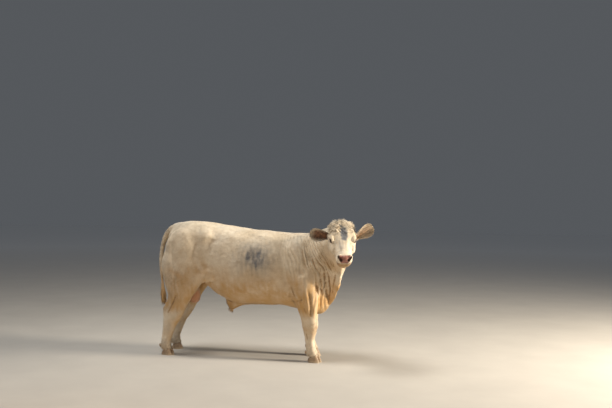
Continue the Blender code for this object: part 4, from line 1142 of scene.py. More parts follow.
@dataclass(frozen=True)
class Surface:
    """The lines and folds of the hide over muscle, bone and loose skin.

    Each groove is a line, its depth, below 0 for a ridge, and its half width. The lines of the body and the
    breast are given from the side, in x and z, for both sides, those of the front in y and z, and the head's
    in its own axes.
    """

    body: tuple[Line, ...] = (
        (((0.235, 1.22), (0.265, 1.08), (0.3, 0.95), (0.335, 0.84), (0.352, 0.755)), 0.01, 0.024),
        (((0.36, 0.8), (0.372, 0.74), (0.395, 0.69)), 0.012, 0.012),
        (((0.48, 1.3), (0.56, 1.15), (0.61, 1.0), (0.635, 0.86)), 0.006, 0.028),
        (((0.4, 1.12), (0.455, 0.99), (0.49, 0.88), (0.5, 0.8)), 0.006, 0.022),
        (((0.545, 0.76), (0.565, 0.68), (0.575, 0.59), (0.575, 0.5)), 0.01, 0.015),
        (((0.52, 0.77), (0.535, 0.67), (0.545, 0.57), (0.55, 0.49)), -0.006, 0.016),
        (((0.6, 0.74), (0.612, 0.65), (0.612, 0.56), (0.606, 0.48)), -0.006, 0.014),
        (((0.455, 0.7), (0.49, 0.6), (0.515, 0.52)), 0.005, 0.018),
        (((0.405, 0.64), (0.445, 0.655), (0.49, 0.668)), 0.008, 0.01),
        (((-0.985, 1.23), (-0.975, 1.08), (-0.96, 0.93), (-0.95, 0.8), (-0.96, 0.7)), 0.009, 0.02),
        (((-0.7, 1.24), (-0.735, 1.12), (-0.75, 1.0), (-0.725, 0.9)), 0.008, 0.026),
        (((-0.56, 0.96), (-0.61, 0.85), (-0.665, 0.78)), -0.012, 0.024),
        (((-0.92, 0.68), (-0.975, 0.58), (-1.022, 0.5), (-1.052, 0.44)), 0.01, 0.014),
        (((-0.88, 0.62), (-0.915, 0.52), (-0.945, 0.43)), 0.004, 0.012),
        (((0.524, 0.33), (0.528, 0.25), (0.534, 0.17)), 0.004, 0.008),
        (((0.556, 0.33), (0.56, 0.25), (0.566, 0.17)), 0.0024, 0.01),
        (((-1.052, 0.37), (-1.07, 0.27), (-1.084, 0.17)), 0.0045, 0.008),
        (((-1.022, 0.37), (-1.04, 0.27), (-1.055, 0.17)), 0.0024, 0.01),
        (((0.575, 0.4), (0.6, 0.392)), 0.003, 0.006),
        (((-0.52, 1.3), (-0.545, 1.2), (-0.54, 1.11)), 0.012, 0.06),
    )
    breast: tuple[Line, ...] = (
        (((0.622, 0.93), (0.63, 0.78), (0.606, 0.58)), 0.014, 0.012),
        (((0.656, 1.01), (0.672, 0.83), (0.648, 0.56)), 0.012, 0.011),
        (((0.678, 1.08), (0.702, 0.957), (0.712, 0.8), (0.682, 0.54)), 0.014, 0.011),
        (((0.716, 1.09), (0.742, 0.908), (0.75, 0.76), (0.722, 0.6)), 0.018, 0.012),
        (((0.83, 0.96), (0.796, 0.84), (0.776, 0.75), (0.76, 0.68)), 0.01, 0.011),
    )
    front: tuple[Line, ...] = (
        (((0.163, 0.86), (0.16, 0.77), (0.15, 0.69)), 0.011, 0.01),
        (((0.188, 0.86), (0.186, 0.77), (0.178, 0.69)), -0.008, 0.012),
        (((0.137, 0.86), (0.135, 0.77), (0.128, 0.69)), -0.008, 0.012),
        (((0.106, 0.88), (0.1, 0.76), (0.095, 0.65)), 0.015, 0.013),
    )
    head: tuple[Line, ...] = (
        (((0.3, 0.084, -0.1), (0.27, 0.11, -0.17), (0.235, 0.105, -0.235)), 0.006, 0.013),
        (((0.265, 0.1, -0.082), (0.305, 0.09, -0.098), (0.345, 0.082, -0.112)), -0.007, 0.012),
        (((0.262, 0.074, -0.03), (0.31, 0.062, -0.042), (0.37, 0.058, -0.052)), 0.0095, 0.017),
        (((0.24, 0.04, -0.006), (0.3, 0.034, -0.016), (0.36, 0.03, -0.018)), -0.0035, 0.014),
        (((0.09, 0.0, 0.012), (0.16, 0.0, 0.012), (0.225, 0.0, -0.002)), 0.005, 0.03),
        (((0.292, 0.104, -0.058), (0.318, 0.092, -0.068), (0.34, 0.082, -0.076)), 0.007, 0.015),
        (((0.392, 0.0, -0.018), (0.396, 0.03, -0.02), (0.4, 0.05, -0.03)), 0.003, 0.014),
        (((0.194, 0.114, -0.018), (0.22, 0.096, -0.01), (0.248, 0.084, -0.022)), 0.0045, 0.0065),
        (((0.21, 0.128, -0.09), (0.237, 0.125, -0.088), (0.265, 0.11, -0.07)), 0.0035, 0.006),
        (((0.205, 0.133, -0.103), (0.239, 0.129, -0.104), (0.275, 0.11, -0.086)), 0.0025, 0.006),
        (((0.42, 0.066, -0.03), (0.412, 0.076, -0.06), (0.424, 0.083, -0.09)), 0.004, 0.007),
        (((0.398, 0.05, -0.018), (0.388, 0.07, -0.05), (0.396, 0.082, -0.09)), 0.0028, 0.0065),
        (((0.34, 0.086, -0.14), (0.322, 0.09, -0.152), (0.312, 0.09, -0.176)), 0.0045, 0.008),
        (((0.38, 0.082, -0.156), (0.42, 0.08, -0.16), (0.455, 0.07, -0.158)), 0.003, 0.008),
        (((0.405, 0.03, -0.19), (0.44, 0.034, -0.2), (0.468, 0.024, -0.188)), 0.003, 0.008),
    )
    middle_of_lip: tuple[Place, ...] = ((0.5, 0.0, -0.06), (0.508, 0.0, -0.085), (0.512, 0.0, -0.114))

    @staticmethod
    def sink(grooves: tuple[Line, ...], points: Array) -> Array:
        """How far points sink in grooves: depth times exp(-(distance / half width)^2), less at the ends.

        Args:
            grooves: lines with their depths and half widths.
            points: points in the axes of the lines.

        Returns:
            The depth at each point.
        """
        total = np.zeros(len(points))
        for line, depth, half_width in grooves:
            distance, share = to_line(points, line)
            total += depth * hill(distance / half_width) * rising(np.minimum(share, 1 - share), -0.12, 0.22)
        return total

    def of_body(self, points: Array, ways: Array) -> Array:
        """How far the body's hide rises, over muscle lines, ribs, the loin and the wrinkles of the legs.

        Args:
            points: points of the hide.
            ways: its normals.

        Returns:
            The rise along the normal, below 0 where it sinks.
        """
        seen = np.stack([points[:, 0] + self.set_back(points), points[:, 2]], axis=1)
        sideways = rising(np.abs(ways[:, 1]), 0.25, 0.75)
        rise = -self.sink(self.body, seen) * sideways
        rise -= self.sink(self.breast, seen) * rising(np.abs(ways[:, 1]), 0.02, 0.3)
        x, y, z = points.T
        ahead = rising(ways[:, 0], 0.15, 0.55) * rising(x, 0.5, 0.58)
        rise -= self.sink(self.front, np.stack([np.abs(y), z], axis=1)) * ahead
        barrel = band(x, -0.45, -0.25, 0.12, 0.26) * band(z, 0.72, 0.86, 1.12, 1.28)
        ribs = wave(x + 0.12 * (z - 1.0) + 0.03 * soft_noise(points, 0.3, 9), 0.085)
        rise += 0.0007 * ribs * barrel * sideways
        ripple = band(x, 0.16, 0.34, 0.48, 0.62) * rising(z, 0.8, 0.95)
        rise += 0.0021 * wave(x + 0.2 * z + 0.014 * soft_noise(points, 0.25, 3), 0.036) * ripple * sideways
        loin = band(x, -0.98, -0.8, -0.1, 0.15) * rising(ways[:, 2], 0.6, 0.95)
        rise -= 0.007 * hill(y / 0.03) * loin
        gaskin = falling(x, -0.86, -0.8) * band(z, 0.5, 0.56, 0.68, 0.8) * rising(x, -1.02, -0.9)
        rise += 0.001 * wave(z + 0.3 * x + 0.006 * soft_noise(points, 0.12, 4), 0.021) * gaskin * sideways
        fetlock = band(z, 0.085, 0.105, 0.15, 0.175)
        rise += 0.0012 * wave(z, 0.016) * fetlock
        rise += 0.0034 * soft_noise(points, 0.2, 5) * rising(z, 0.45, 0.6)
        return rise + 0.0008 * soft_noise(points, 0.045, 6)

    def set_back(self, points: Array) -> Array:
        """How far back the left leg stands at a point, so that both legs' lines fall on their own leg."""
        limbs = Limbs()
        left = (points[:, 1] > 0) * np.clip((1.0 - points[:, 2]) / 0.6, 0, 1)
        return left * np.where(points[:, 0] > -0.3, limbs.left_fore_back, limbs.left_hind_back)

    def of_head(self, points: Array) -> Array:
        """How far the head's hide rises: its lines, the lip, the nose's wrinkles and the poll's waves."""
        places = HEAD.into(points)
        s, aside, out = places.T
        folded = np.stack([s, np.abs(aside), out], axis=1)
        rise = -self.sink(self.head, folded)
        distance, _ = to_line(places, self.middle_of_lip)
        rise -= 0.003 * hill(distance / 0.004)
        nose = band(s, 0.33, 0.375, 0.415, 0.44) * rising(out, -0.075, -0.045)
        rise += 0.0006 * wave(s + 0.25 * np.abs(aside) + 0.004 * soft_noise(points, 0.04, 10), 0.0135) * nose
        chin = rising(s, 0.4, 0.43) * falling(out, -0.165, -0.15)
        rise += 0.001 * soft_noise(points, 0.01, 8) * chin
        curls = falling(s, 0.13, 0.2) * rising(out, -0.075, -0.04)
        return rise + 0.0045 * soft_noise(points, 0.034, 7) * curls


def head_nearness(points: Array, inner: float, outer: float) -> Array:
    """1 on the head, 0 beyond an outer distance from its middle."""
    return falling(far_from(points, HEAD.out(HEAD_MIDDLE)), inner, outer)


@dataclass
class Hide:
    """The one skin of the whole animal, from poll to tail, worked out from all its forms.

    The forms are fused on a grid, smoothed by as much as each place bears, refined on the head, given their
    lines and folds, sunk by the coat's depth, opened at eyes, nostrils and mouth, and joined with the ears.
    """

    trunk: Trunk = field(default_factory=Trunk)
    neck: Neck = field(default_factory=Neck)
    skull: Skull = field(default_factory=Skull)
    limbs: Limbs = field(default_factory=Limbs)
    surface: Surface = field(default_factory=Surface)
    grid: float = 0.006
    body_blend: float = 0.034
    neck_blend: float = 0.009
    head_blend: float = 0.005
    leg_blend: float = 0.006
    coat_depth: float = 0.003
    most_triangles: int = 186_000

    def fused(self) -> Piece:
        """All the forms as one skin, smoothed 4 (reach / grid)^2 times where the reach is greatest."""
        lids = [eye.lid() for eye in EYES.values()]
        forms = self.trunk.forms() + self.neck.forms() + self.skull.forms() + lids + self.limbs.forms()
        obj = mesh_object("hide", joined(forms))
        step = obj.modifiers.new("fuse", "REMESH")
        step.mode = "VOXEL"
        step.voxel_size = self.grid
        applied(obj)
        strength = (self.blend_reach(coordinates(obj)) / self.body_blend) ** 2
        return relaxed(obj, strength, int(round(4 * (self.body_blend / self.grid) ** 2)))

    def blend_reach(self, points: Array) -> Array:
        """How far the flesh is smoothed: least on the head, the neck's folds, the tail and the lower legs."""
        head = np.clip((far_from(points, HEAD.out(HEAD_MIDDLE)) - 0.27) / 0.16, 0, 1)
        neck_side = np.clip((0.66 - points[:, 0]) / 0.2, 0, 1)
        low = np.clip((points[:, 2] - 0.45) / 0.25, 0, 1)
        behind = np.clip((points[:, 0] + 1.2) / 0.08, 0, 1)
        reach = self.head_blend + (self.neck_blend - self.head_blend) * head
        reach = reach + (self.body_blend - self.neck_blend) * neck_side * head
        reach = np.minimum(reach, self.leg_blend + (self.body_blend - self.leg_blend) * low)
        return np.minimum(reach, self.leg_blend + (self.body_blend - self.leg_blend) * behind)

    def refine_head(self, obj: Piece) -> None:
        """Splits the faces of the head in four, and evens the new points out."""
        shape = bmesh.new()
        shape.from_mesh(obj.data)
        near = head_nearness(coordinates(obj), 0.315, 0.317) > 0.5
        edges = [edge for edge in shape.edges if near[edge.verts[0].index] and near[edge.verts[1].index]]
        bmesh.ops.subdivide_edges(shape, edges=edges, cuts=1, use_grid_fill=True)
        shape.to_mesh(obj.data)
        shape.free()
        relaxed(obj, head_nearness(coordinates(obj), 0.29, 0.33), 4)

    def raise_lines(self, obj: Piece) -> None:
        """Moves the points along their normals by the lines and folds, less the depth of the coat."""
        points, ways = coordinates(obj), normals(obj)
        on_head = head_nearness(points, 0.25, 0.36)
        rise = self.surface.of_body(points, ways) * (1 - on_head)
        rise += self.surface.of_head(points) * head_nearness(points, 0.34, 0.38)
        near, (along, down, far) = self.neck.places_near(points, read(obj.data.edges, "vertices", 2), 14)
        loose = self.neck.looseness(points[near], along, down, far)
        rise[near] += (self.neck.fold_height(along, down) - self.neck.fold_depth * 0.55) * loose
        depth = self.coat_depth * (1 - 0.55 * on_head) * rising(points[:, 2], 0.03, 0.1)
        move_points(obj, points + ways * (rise - depth)[:, None])

    def opened(self, obj: Piece) -> None:
        """Cuts the mouth, nostrils and eyes, joins the ears, and rounds the edges."""
        cutters = [self.skull.mouth_cutter()] + self.skull.nostrils()
        for eye in EYES.values():
            cutters += [eye.opening(), eye.pocket()]
        for cutter in cutters:
            combined(obj, [cutter], "DIFFERENCE")
        for ear in EARS.values():
            combined(obj, [ear.shell()], "UNION")
        points = coordinates(obj)
        places = HEAD.into(points)
        mouth, _ = to_line(places, self.skull.mouth_line())
        edge = falling(mouth, 0.006, 0.016) * 0.8
        for side in Side:
            nostril = far_from(places, side.place(self.skull.nostril_middle))
            edge = np.maximum(edge, falling(nostril, 0.03, 0.042))
            root = far_from(places, side.place(EARS[side].root))
            edge = np.maximum(edge, falling(root, 0.055, 0.085))
        relaxed(obj, edge, 5)

    def thinned(self, obj: Piece) -> None:
        """Brings the skin down to its number of triangles, with more of them on the head."""
        weights = 1.0 - 0.7 * head_nearness(coordinates(obj), 0.3, 0.36)
        step = obj.modifiers.new("thin", "DECIMATE")
        step.vertex_group = weigh(obj, weights)
        step.vertex_group_factor = 0.0005
        step.ratio = self.most_triangles / triangles(obj)
        step.use_collapse_triangulate = True
        applied(obj)
        obj.vertex_groups.clear()

    def build(self) -> Piece:
        """Builds the skin in the animal's own frame."""
        obj = self.fused()
        log.info("hide fused: %d points", len(obj.data.vertices))
        self.refine_head(obj)
        self.raise_lines(obj)
        self.opened(obj)
        log.info("hide opened: %d points", len(obj.data.vertices))
        self.thinned(obj)
        obj.data.shade_smooth()
        return obj


@dataclass(frozen=True)
class Marks:
    """Where the hide changes colour: values from 0 to 1 at points, the same for the skin and for its coat."""

    def first(self, points: Array) -> Array:
        """Bare muzzle, dark rims with painted shade at mouth and nostrils, painted shade in the ear cups and
        bare skin of the scrotum, as four columns.
        """
        places = HEAD.into(points)
        s, aside, out = places.T
        across = np.abs(aside) / (0.036 + 0.019 * rising(out, -0.085, -0.035))
        pad = rising(s, 0.446, 0.462) * falling(across, 0.9, 1.18) * rising(out, -0.092, -0.078)
        mouth, _ = to_line(places, Skull().mouth_line())
        lips = falling(mouth, 0.004, 0.012) * rising(s, 0.36, 0.42)
        bare = np.clip(np.maximum(pad, 0.5 * lips), 0, 1) * head_nearness(points, 0.4, 0.42)
        # Painted shade along the mouth line and, below, round the nostrils, wider than the holes; dark rims
        # round the eye openings.
        rims = 0.9 * falling(mouth, 0.002, 0.0045) * rising(s, 0.33, 0.36)
        for side in Side:
            for centre, radii in Skull().nostril:
                middle = side.place(np.array(centre) + np.array((0.005, 0, 0)))
                hole = np.linalg.norm((places - middle) / (np.array(radii) + 0.001), axis=1)
                rims = np.maximum(rims, falling(hole, 0.85, 1.3))
            eye = EYES[side]
            seen = (places - eye.place()) @ eye.axes()
            wide, high = eye.half_opening
            almond = np.hypot(seen[:, 0] / (wide + 0.0035), seen[:, 1] / (high + 0.003))
            rims = np.maximum(rims, falling(almond, 0.96, 1.12) * (seen[:, 2] > 0))
        left, right = (self.in_ear(EARS[side], points) for side in (Side.LEFT, Side.RIGHT))
        # Painted shade in the ear cups: full in the right ear, half in the left.
        hollow = np.maximum(0.5 * left, right)
        bag = falling(points[:, 2], 0.665, 0.735)
        bag *= falling(np.abs(points[:, 0] - Trunk().scrotum_middle), 0.08, 0.095)
        bag *= falling(np.abs(points[:, 1]), 0.072, 0.085)
        return np.stack([bare, rims, hollow, bag], axis=1)

    def in_ear(self, ear: Ear, points: Array) -> Array:
        """Where the cup of an ear is: a place counts when it lies just inside the arc of the leaf.

        Args:
            ear: the ear.
            points: points of the hide.

        Returns:
            1 inside the cup, fading to its rims and tip.
        """
        out, across, up = ear.local(points).T
        along = np.clip(out / ear.length, 0.0, 1.0)
        near = (out > 0.02) & (out < ear.length + 0.01)
        near &= (np.abs(across) < 0.085) & (np.abs(up - 0.03) < 0.075)
        radius, curl = ear.bend(along)
        over = up + ear.sag(along)
        from_axis = np.hypot(across, over - radius)
        swing = np.abs(np.arctan2(across, radius - over)) / curl
        inner = rising(radius - from_axis, -0.0008, 0.0008) * rising(from_axis - radius, -0.022, -0.014)
        return near * inner * falling(swing, 0.7, 1.0) * falling(along, 0.7, 0.97)

    def second(self, points: Array, ways: Array, crease: Array) -> Array:
        """Warm underside, partly stain and partly painted bounce light; soil with painted crease shade; grey,
        mostly painted shade and shadow; and a spare column for the tint of each tuft.

        Args:
            points: points of the hide.
            ways: its normals.
            crease: how far each point lies in a crease, from 0 to 1.

        Returns:
            Four columns.
        """
        x, y, z = points.T
        # Painted warm bounce light: faces that look down, low on the body, turn warm. The low band and the
        # flank spots are partly stain and partly painted bounce light.
        warm = falling(ways[:, 2], -0.75, 0.15) * falling(z, 0.62, 1.0)
        streak = soft_noise(points * np.array((1.0, 1.0, 0.22)), 0.05, 27)
        low = falling(z + 0.06 * soft_noise(points, 0.3, 23), 0.66, 1.06) * rising(z, 0.42, 0.56)
        warm = np.maximum(warm, np.clip(low * (0.92 + 0.3 * streak), 0, 1))
        flank = spot(x, z, (-0.62, 0.93), (0.15, 0.1)) + spot(x, z, (-0.92, 0.86), (0.14, 0.12))
        stain_and_bounce = (0.55 + 0.5 * soft_noise(points, 0.1, 24)) * rising(np.abs(y), 0.1, 0.18)
        s, aside, out = HEAD.into(points).T
        mouth = rising(s, 0.34, 0.42) * falling(out, -0.11, -0.085)
        mouth += 0.45 * rising(s, 0.06, 0.2) * falling(out, -0.22, -0.13)
        on_head = head_nearness(points, 0.36, 0.4)
        warm = np.maximum(warm, on_head * mouth)
        # Painted crease shade: creases and the neck's fold valleys turn warm here, and dark in the soil
        # channel below.
        warm = np.clip(np.maximum(warm, 0.85 * flank * stain_and_bounce) + 0.6 * crease, 0, 1)
        knee = hill((z - 0.37) / 0.085) * (x > 0) * rising(ways[:, 0], -0.1, 0.7)
        hock = hill((z - 0.5) / 0.06) * (x < -0.9) * falling(ways[:, 0], -0.9, -0.2)
        feet = falling(z, 0.07, 0.26)
        thigh = spot(x, z, (-0.93, 0.84), (0.13, 0.14)) * (y * y > 0.01)
        soil = np.clip(0.95 * knee + 0.75 * hock + 0.55 * feet + 0.5 * thigh, 0, 1)
        soil *= 0.6 + 0.45 * soft_noise(points, 0.035, 21)
        chin = rising(s, 0.4, 0.45) * falling(out, -0.105, -0.09) * falling(out, 0.12, 0.165)
        # Painted crease shade, carried by the soil channel.
        soil = np.maximum(soil, 0.95 * crease)
        soil = np.maximum(soil, 0.75 * on_head * chin)
        # Painted cast shadow: a grey patch on the near barrel, on the right side only.
        patch = spot(x, z, (-0.03, 1.09), (0.17, 0.13)) * (0.9 + 0.55 * streak)
        # Painted shade: grey round the forehead's whorl and down the right side of the nose.
        ragged = 1.0 + 0.22 * soft_noise(points, 0.045, 26)
        whorl = falling(np.hypot((s - 0.17) / 0.085, (aside - 0.01) / 0.04) * ragged, 0.8, 1.2)
        below = falling(np.hypot((s - 0.3) / 0.09, (aside + 0.024) / 0.026), 0.6, 1.15)
        whorl = np.maximum(whorl, 0.45 * below)
        whorl *= rising(out, -0.08, -0.03)
        rear = 0.16 * falling(x, -1.05, -0.8) * (0.7 + 0.5 * soft_noise(points, 0.12, 25))
        grey = np.clip(0.95 * patch * falling(y, -0.25, -0.15) + whorl + rear, 0, 1)
        return np.stack([warm, np.clip(soil, 0, 1), grey, np.full(len(points), 0.46)], axis=1)


MARKS = Marks()


@dataclass
class Bench:
    """Adds nodes to a material's tree and joins them."""

    material: bpy.types.Material

    @classmethod
    def new(cls, name: str) -> "Bench":
        """A bench for a new material."""
        material = bpy.data.materials.new(name)
        material.use_nodes = True
        return cls(material)

    @property
    def shader(self) -> bpy.types.Node:
        """The material's shader."""
        return self.material.node_tree.nodes["Principled BSDF"]

    def add(self, kind: str, **inputs: object) -> bpy.types.Node:
        """Adds a node, and sets or joins its inputs by name, an underscore standing for a space.

        Args:
            kind: the node's type.
            inputs: a number, a colour or another node's output for each input.

        Returns:
            The node.
        """
        node = self.material.node_tree.nodes.new(kind)
        self.give_all(node, inputs)
        return node

    def give_all(self, node: bpy.types.Node, inputs: dict[str, object]) -> None:
        """Gives a node's inputs by name, an underscore standing for a space."""
        for name, value in inputs.items():
            self.give(node.inputs[name.replace("_", " ")], value)

    def finish(self, **inputs: object) -> bpy.types.Material:
        """Gives the shader its inputs and returns the material."""
        self.give_all(self.shader, inputs)
        return self.material

    def give(self, socket: Socket, value: object) -> None:
        """Sets a socket to a value, or joins an output to it."""
        if isinstance(value, Socket):
            self.material.node_tree.links.new(value, socket)
        else:
            socket.default_value = value

    def attribute(self, name: str) -> bpy.types.Node:
        """A node that reads an attribute of the mesh."""
        node = self.add("ShaderNodeAttribute")
        node.attribute_name = name
        return node

    def split(self, colour: Socket) -> tuple[Socket, ...]:
        """The three channels of a colour."""
        return tuple(self.add("ShaderNodeSeparateColor", Color=colour).outputs)[:3]

    def math(self, operation: str, first: object, second: object = 0.0) -> Socket:
        """A sum, product or other operation on two values.

        Args:
            operation: its name.
            first: a number or an output.
            second: the same.

        Returns:
            The result, kept from 0 to 1.
        """
        node = self.add("ShaderNodeMath")
        node.operation = operation
        node.use_clamp = True
        self.give(node.inputs[0], first)
        self.give(node.inputs[1], second)
        return node.outputs[0]

    def mix(self, share: object, first: object, second: object, blend: str = "MIX") -> Socket:
        """Two colours mixed by a share.

        Args:
            share: how far the second one shows.
            first: a colour or an output.
            second: the same.
            blend: how they are mixed.

        Returns:
            The mixed colour.
        """
        node = self.material.node_tree.nodes.new("ShaderNodeMix")
        node.data_type = "RGBA"
        node.blend_type = blend
        self.give(node.inputs[0], share)
        self.give(node.inputs[6], first)
        self.give(node.inputs[7], second)
        return node.outputs[2]

    def over(self, base: Socket, colour: object, share: object, strength: object) -> Socket:
        """A colour laid over another one, by a share times a strength."""
        return self.mix(self.math("MULTIPLY", share, strength), base, colour)

    def length(self, vector: Socket) -> Socket:
        """How long a vector is."""
        node = self.add("ShaderNodeVectorMath", Vector=vector)
        node.operation = "LENGTH"
        return node.outputs["Value"]

    def place(self, stretch: Place = (1.0, 1.0, 1.0)) -> Socket:
        """Object coordinates, stretched along the axes."""
        where = self.add("ShaderNodeTexCoord").outputs["Object"]
        node = self.add("ShaderNodeMapping", Vector=where)
        node.inputs["Scale"].default_value = stretch
        return node.outputs[0]

    def noise(self, where: Socket, scale: float, detail: float = 3.0, rough: float = 0.5) -> Socket:
        """A noise's value."""
        node = self.add("ShaderNodeTexNoise", Vector=where, Scale=scale, Detail=detail, Roughness=rough)
        return node.outputs[0]

    def ranged(
        self, value: object, low: float, high: float, to_low: float = 0.0, to_high: float = 1.0
    ) -> Socket:
        """A value brought from one range to another, and kept in it.

        Args:
            value: a number or an output.
            low: the start of its range.
            high: the end of it.
            to_low: the start of the new range.
            to_high: the end of it.

        Returns:
            The new value.
        """
        node = self.add("ShaderNodeMapRange")
        self.give_all(node, {"From Min": low, "From Max": high, "To Min": to_low, "To Max": to_high})
        self.give(node.inputs["Value"], value)
        return node.outputs[0]

    def bump(self, height: object, strength: float, distance: float, under: object = None) -> Socket:
        """A bump from a height, over another bump where one is given.

        Args:
            height: the output that holds the height.
            strength: from 0 to 1.
            distance: how high a height of 1 stands.
            under: the other bump.

        Returns:
            The normal.
        """
        node = self.add("ShaderNodeBump", Height=height, Strength=strength, Distance=distance)
        if under is not None:
            self.give(node.inputs["Normal"], under)
        return node.outputs[0]


@dataclass(frozen=True)
class HideFinish:
    """The hide and its hair: creamy white, warm below, soiled at the feet, bare at muzzle and scrotum."""

    cream: Colour = (0.74, 0.635, 0.48, 1.0)
    pale: Colour = (0.87, 0.8, 0.67, 1.0)
    # warm: real stain, and painted warm bounce light on the underside.
    warm: Colour = (0.56, 0.32, 0.095, 1.0)
    # soil: real dirt at knees, hocks and feet, and painted shade in creases and fold valleys.
    soil: Colour = (0.24, 0.14, 0.065, 1.0)
    # grey: painted shade and cast shadow on the forehead, the nose and the near barrel, and a grey tone
    # towards the rear.
    grey: Colour = (0.13, 0.15, 0.185, 1.0)
    bare: Colour = (0.36, 0.16, 0.125, 1.0)
    # rim: painted shade along the mouth line and round the nostrils, and dark rims round the eyes.
    rim: Colour = (0.06, 0.026, 0.022, 1.0)
    # hollow: painted shade in the ear cups, deepest in the right ear.
    hollow: Colour = (0.085, 0.036, 0.02, 1.0)
    bag: Colour = (0.74, 0.4, 0.26, 1.0)
    mottled: Colour = (0.57, 0.455, 0.31, 1.0)
    bare_dark: Colour = (0.21, 0.09, 0.07, 1.0)
    # hollow_light: the lighter mottle of the same painted shade.
    hollow_light: Colour = (0.42, 0.22, 0.13, 1.0)

    def colour(self, bench: Bench) -> tuple[Socket, tuple[Socket, ...]]:
        """The colour of hide and hair, and the channels of the first marks."""
        first, second = bench.attribute("marks_a"), bench.attribute("marks_b")
        bare, rim, hollow = bench.split(first.outputs["Color"])
        warm, soil, grey = bench.split(second.outputs["Color"])
        bag, tint = first.outputs["Alpha"], second.outputs["Alpha"]
        where = bench.place()
        broad = bench.ranged(bench.noise(where, 3.2, 4.0, 0.6), 0.35, 0.68)
        mottle = bench.ranged(bench.noise(where, 17.0, 4.0, 0.65), 0.36, 0.66)
        base = bench.mix(broad, self.cream, self.pale)
        base = bench.over(base, self.mottled, mottle, 0.42)
        # Painted light below: warm is partly painted bounce light, grey mostly painted shade and shadow, soil
        # partly painted crease shade, and hollow and rim are painted shade.
        base = bench.over(base, self.warm, warm, bench.ranged(broad, 0, 1, 0.95, 0.55))
        base = bench.over(base, self.grey, grey, bench.ranged(mottle, 0, 1, 0.7, 1.0))
        crust = bench.ranged(bench.noise(where, 60.0, 5.0, 0.7), 0.38, 0.62, 0.35, 1.0)
        base = bench.over(base, self.soil, soil, crust)
        lightness = bench.ranged(tint, 0.0, 1.0, 0.8, 1.16)
        shade = bench.add("ShaderNodeCombineColor", Red=lightness, Green=lightness, Blue=lightness).outputs[0]
        base = bench.mix(1.0, base, shade, "MULTIPLY")
        flesh = bench.mix(bench.ranged(bench.noise(where, 55.0, 3.0), 0.35, 0.65), self.bare, self.bare_dark)
        base = bench.over(base, self.bag, bag, 0.85)
        inner = bench.ranged(bench.noise(where, 38.0, 4.0, 0.6), 0.35, 0.65)
        base = bench.over(base, bench.mix(inner, self.hollow, self.hollow_light), hollow, 0.92)
        base = bench.mix(bare, base, flesh)
        return bench.mix(rim, base, self.rim), (bare, rim, hollow)

    def material(self, name: str, hair: bool) -> bpy.types.Material:
        """The finish of the skin, or of hair on it.

        Args:
            name: the material's name.
            hair: whether it is for tufts and locks.

        Returns:
            The material.
        """
        bench = Bench.new(name)
        colour, (bare, rim, _) = self.colour(bench)
        where = bench.place()
        fine = bench.noise(bench.place((60.0, 320.0, 240.0)), 1.0, 3.0, 0.55)
        if hair:
            rough = bench.ranged(bench.noise(where, 42.0, 3.0), 0.3, 0.7, 0.62, 0.82)
            surface = bench.bump(fine, 0.18, 0.0012)
        else:
            rough = bench.ranged(bench.math("MAXIMUM", bare, rim), 0.0, 1.0, 0.74, 0.4)
            pebble = bench.add("ShaderNodeTexVoronoi", Vector=where, Scale=330.0).outputs["Distance"]
            pebble = bench.math("MULTIPLY", pebble, bare)
            surface = bench.bump(pebble, 0.55, 0.0012, bench.bump(fine, 0.3, 0.0012))
            surface = bench.bump(bench.noise(where, 90.0, 4.0, 0.6), 0.25, 0.0016, surface)
        specular = 0.35 if hair else 0.42
        bench.finish(Specular_IOR_Level=specular, Sheen_Weight=0.22, Sheen_Roughness=0.45)
        return bench.finish(Base_Color=colour, Roughness=rough, Normal=surface)


@dataclass(frozen=True)
class EyeFinish:
    """A dark brown eye: a level oval pupil, a streaked iris, a dark ring and the white, under a wet gloss."""

    iris: Colour = (0.06, 0.026, 0.014, 1.0)
    streak: Colour = (0.135, 0.062, 0.028, 1.0)
    pupil: Colour = (0.004, 0.004, 0.006, 1.0)
    ring: Colour = (0.018, 0.01, 0.008, 1.0)
    white: Colour = (0.4, 0.27, 0.21, 1.0)
    vein: Colour = (0.3, 0.13, 0.1, 1.0)

    def material(self, name: str) -> bpy.types.Material:
        """The finish as a material that reads the place across the cornea."""
        bench = Bench.new(name)
        across = bench.attribute("cornea").outputs["Vector"]
        axis = bench.add("ShaderNodeSeparateXYZ", Vector=across).outputs
        level = bench.add("ShaderNodeCombineXYZ", X=axis[0], Y=axis[1], Z=0.0).outputs[0]
        radius = bench.length(level)
        stretched = bench.add("ShaderNodeVectorMath")
        stretched.operation = "MULTIPLY"
        bench.give(stretched.inputs[0], level)
        stretched.inputs[1].default_value = (1.0, 1.85, 1.0)
        oval = bench.length(stretched.outputs[0])
        streaks = bench.ranged(bench.noise(level, 26.0, 4.0, 0.7), 0.35, 0.65)
        iris = bench.mix(streaks, self.iris, self.streak)
        colour = bench.mix(bench.ranged(radius, 0.6, 0.66), iris, self.ring)
        veins = bench.ranged(bench.noise(across, 9.0, 5.0, 0.7), 0.45, 0.62)
        veins = bench.mix(veins, self.white, self.vein)
        colour = bench.mix(bench.ranged(radius, 0.67, 0.72), colour, veins)
        colour = bench.mix(bench.ranged(oval, 0.36, 0.32), colour, self.pupil)
        colour = bench.mix(bench.ranged(axis[2], 0.0, 0.1), self.white, colour)
        rough = bench.ranged(radius, 0.6, 0.75, 0.05, 0.16)
        return bench.finish(Base_Color=colour, Roughness=rough, Coat_Weight=1.0, Coat_Roughness=0.03)


